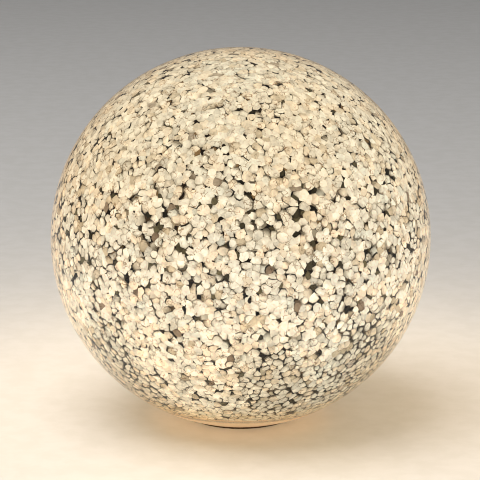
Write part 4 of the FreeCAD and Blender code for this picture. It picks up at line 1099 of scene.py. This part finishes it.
# %% Marks for the knob's three positions
MARK_REACH = knob_y + 5.4 * MM
MARK_STEP = 2.6 * MM
RING_RADIUS, RING_WIDTH, RING_STEPS = 0.68 * MM, 0.17 * MM, 24
BAR_REACH, BAR_WIDTH = 0.6 * MM, 0.19 * MM
DOT_REACH, DOT_RADIUS = 0.02 * MM, 0.4 * MM
BAR_HEIGHT, DOT_HEIGHT = 0.22 * MM, 0.25 * MM


def on_dish(x, y, lift):
    """A point on the ball's own surface, which the dish follows, lifted outwards."""
    spot = Vector((x, y, CENTRE.z - math.sqrt(BALL**2 - x**2 - y**2)))
    return tuple(spot + (spot - CENTRE).normalized() * lift)


ring_path = arc_path(RING_RADIUS, 0, 345, RING_STEPS, (-MARK_STEP, MARK_REACH))
bar_path = [(0.0, MARK_REACH - BAR_REACH), (0.0, MARK_REACH + BAR_REACH)]
dot_path = [(MARK_STEP - DOT_REACH, MARK_REACH), (MARK_STEP + DOT_REACH, MARK_REACH)]
marks = [ridge(ring_path, [RING_WIDTH] * RING_STEPS, BAR_HEIGHT, on_dish, closed=True),
         ridge(bar_path, [BAR_WIDTH] * 2, BAR_HEIGHT, on_dish),
         ridge(dot_path, [DOT_RADIUS] * 2, DOT_HEIGHT, on_dish)]
add_ridges("switch_marks", marks, "lamp", printed)

# %% [markdown]
# The cap and the knob face the floor, so on a lamp that is turned over they would stay dark. A soft
# lamp below the floor lights them, and light linking limits it to these pieces. The dish has its own
# painted glow, and the switch's steel would throw a bright spot on the floor.

# %% Light from below
BELOW_POWER = 2.6
BELOW_SIZE = 0.5
BELOW_PLACE = Vector((-0.45, -0.35, -0.85))

below_lamp = add_light("light from below", "AREA", BELOW_POWER, BELOW_SIZE, BELOW_PLACE)
below_lamp.rotation_euler = BELOW_PLACE.to_track_quat("Z", "Y").to_euler()
underside = [nodes[name] for name in ("battery_cap", "switch_knob")]
underside += [bpy.data.objects[name] for name in ("cap_arrows", "knob_ridges", "switch_marks")]
shine_only_on(below_lamp, underside)

# %% [markdown]
# ## Metals
# Screws and springs are bright steel, contacts are nickelled, the capacitor's can is aluminium. The
# streaks run along the way that each piece was turned or drawn.

# %% Metal pieces
EDGE_LIGHTER = 26  # screen values that rubbed edges are lighter
METAL_WEAR = 0.4


def metal(name, colour, stretch, low, high):
    material, tree, shader = new_material(name)
    streaks = use_group(tree, STREAKS, Colour=linear(*colour), Stretch=stretch, Low=low, High=high)
    lighter = linear(*[min(255, value + EDGE_LIGHTER) for value in colour])
    rubbed = use_group(tree, RUBBED, Colour=streaks["Colour"], Worn_Colour=lighter, Amount=METAL_WEAR)
    join_all(tree, shader, {"Base Color": rubbed["Colour"], "Roughness": streaks["Roughness"],
                            "Metallic": 1.0})
    bump(tree, shader, streaks["Height"], 0.008 * MM, 0.5)
    return material


FLAT_STREAKS = (5000.0, 250.0, 5000.0)
UPRIGHT_STREAKS = (5000.0, 5000.0, 200.0)
FINE_GRAIN = (2500.0, 2500.0, 2500.0)
dress(metal("screw steel", (196, 196, 200), FLAT_STREAKS, 0.2, 0.4), "tube_screws", "holder_screws",
      "board_screws", "switch_screws")
dress(metal("spring steel", (188, 186, 182), FINE_GRAIN, 0.16, 0.3), "cell_spring_1", "cell_spring_2",
      "cell_spring_3", "centre_spring", "ring_spring")
dress(metal("nickelled contacts", (206, 200, 186), FLAT_STREAKS, 0.18, 0.36), "bottom_bridge",
      "top_bridge", "bottom_plate", "top_plate", "positive_button", "negative_ring", "negative_strip")
dress(metal("tinned terminals", (202, 204, 206), UPRIGHT_STREAKS, 0.25, 0.5), "switch_terminals")
dress(metal("switch case steel", (186, 188, 190), FLAT_STREAKS, 0.22, 0.42), "switch_body")
dress(metal("capacitor can", (208, 209, 212), UPRIGHT_STREAKS, 0.2, 0.4), "capacitor")
print("metals dressed")

# %% [markdown]
# ## Light engine
# The board is coated in white to throw light back, with round copper pads that show through. The lamps
# are yellow phosphor blocks, and over them stands an opal dome that spreads their light.

# %% Board, lamps and dome
white_board, tree, shader = new_material("white board")
mottled = mottle(tree, (240, 240, 234), (232, 232, 225), 5, 0.3)
cells = add_node(tree, "TexVoronoi",
                 {"Vector": own_place(tree), "Scale": 260.0, "Randomness": 0.35})
pad = map_range(tree, cells.outputs["Distance"], 0.10, 0.14, 1.0, 0.0)
join_all(tree, shader, {"Base Color": mix_colours(tree, pad, mottled["Colour"], linear(196, 150, 84)),
                        "Metallic": math_node(tree, "MULTIPLY", pad, 0.9), "Roughness": 0.35})
bump(tree, shader, pad, 0.03 * MM, 0.5)
dress(white_board, "led_board")
dress(glowing("lamp phosphor", (255, 226, 140), (255, 214, 116), 1.0, 0.2, 0.02, 0.5, {
    "Emission Strength": 2.2, "Roughness": 0.4}), "leds")
# the dome's glow is painted light from the lamps under it
dress(glowing("opal dome", (250, 240, 220), (246, 232, 206), 12.0, 0.2, 0.02, 0.5, {
    "Emission Strength": 0.8, "Roughness": 0.35}), "diffuser_dome")
print("light engine dressed")

# %% [markdown]
# ## Cells
# The three cells are wrapped in a printed sleeve without words: copper colour at the end with the nub
# and dark grey over the rest. A cell's own height decides where the two meet.

# %% Wrapped cells
BAND_LENGTH = 13 * MM
BAND_EDGE = 0.05 * MM
BARE_BELOW = (0.6 * MM, 0.7 * MM)  # up to here from the lower end the steel is bare
BARE_ABOVE = (1.1 * MM, 1.0 * MM)  # and from here down from the upper end
TOP_ZONE = 0.3 * MM
NUB_SHARE = 0.6  # a top narrower than this share of the cell is its nub


def cell_material(node):
    low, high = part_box(node)
    spots = vertices_of(node)
    top = spots[spots[:, 2] > high.z - TOP_ZONE]
    nub_up = np.ptp(top[:, 0]) < NUB_SHARE * (high.x - low.x)
    material, tree, shader = new_material(f"sleeve of {node}")
    height = add_node(tree, "SeparateXYZ", {0: own_place(tree)}).outputs["Z"]
    line = high.z - BAND_LENGTH if nub_up else low.z + BAND_LENGTH
    before, after = (0.0, 1.0) if nub_up else (1.0, 0.0)
    band = map_range(tree, height, line - BAND_EDGE, line + BAND_EDGE, before, after)
    mottled = mottle(tree, (52, 54, 58), (44, 46, 50), 7, 0.3)
    sleeve = mix_colours(tree, band, mottled["Colour"], linear(198, 122, 70))
    below = map_range(tree, height, low.z + BARE_BELOW[0], low.z + BARE_BELOW[1], 1.0, 0.0)
    above = map_range(tree, height, high.z - BARE_ABOVE[0], high.z - BARE_ABOVE[1])
    bare = math_node(tree, "MAXIMUM", below, above)
    shiny = math_node(tree, "MAXIMUM", math_node(tree, "MULTIPLY", band, 0.7), bare)
    join_all(tree, shader, {"Base Color": mix_colours(tree, bare, sleeve, linear(200, 200, 202)),
                            "Metallic": shiny, "Roughness": 0.32, "Coat Weight": 0.4})
    bump(tree, shader, mottled["Height"], 0.01 * MM, 0.5)
    return material


for cell in ("battery_1", "battery_2", "battery_3"):
    dress(cell_material(cell), cell)
print("cells dressed")
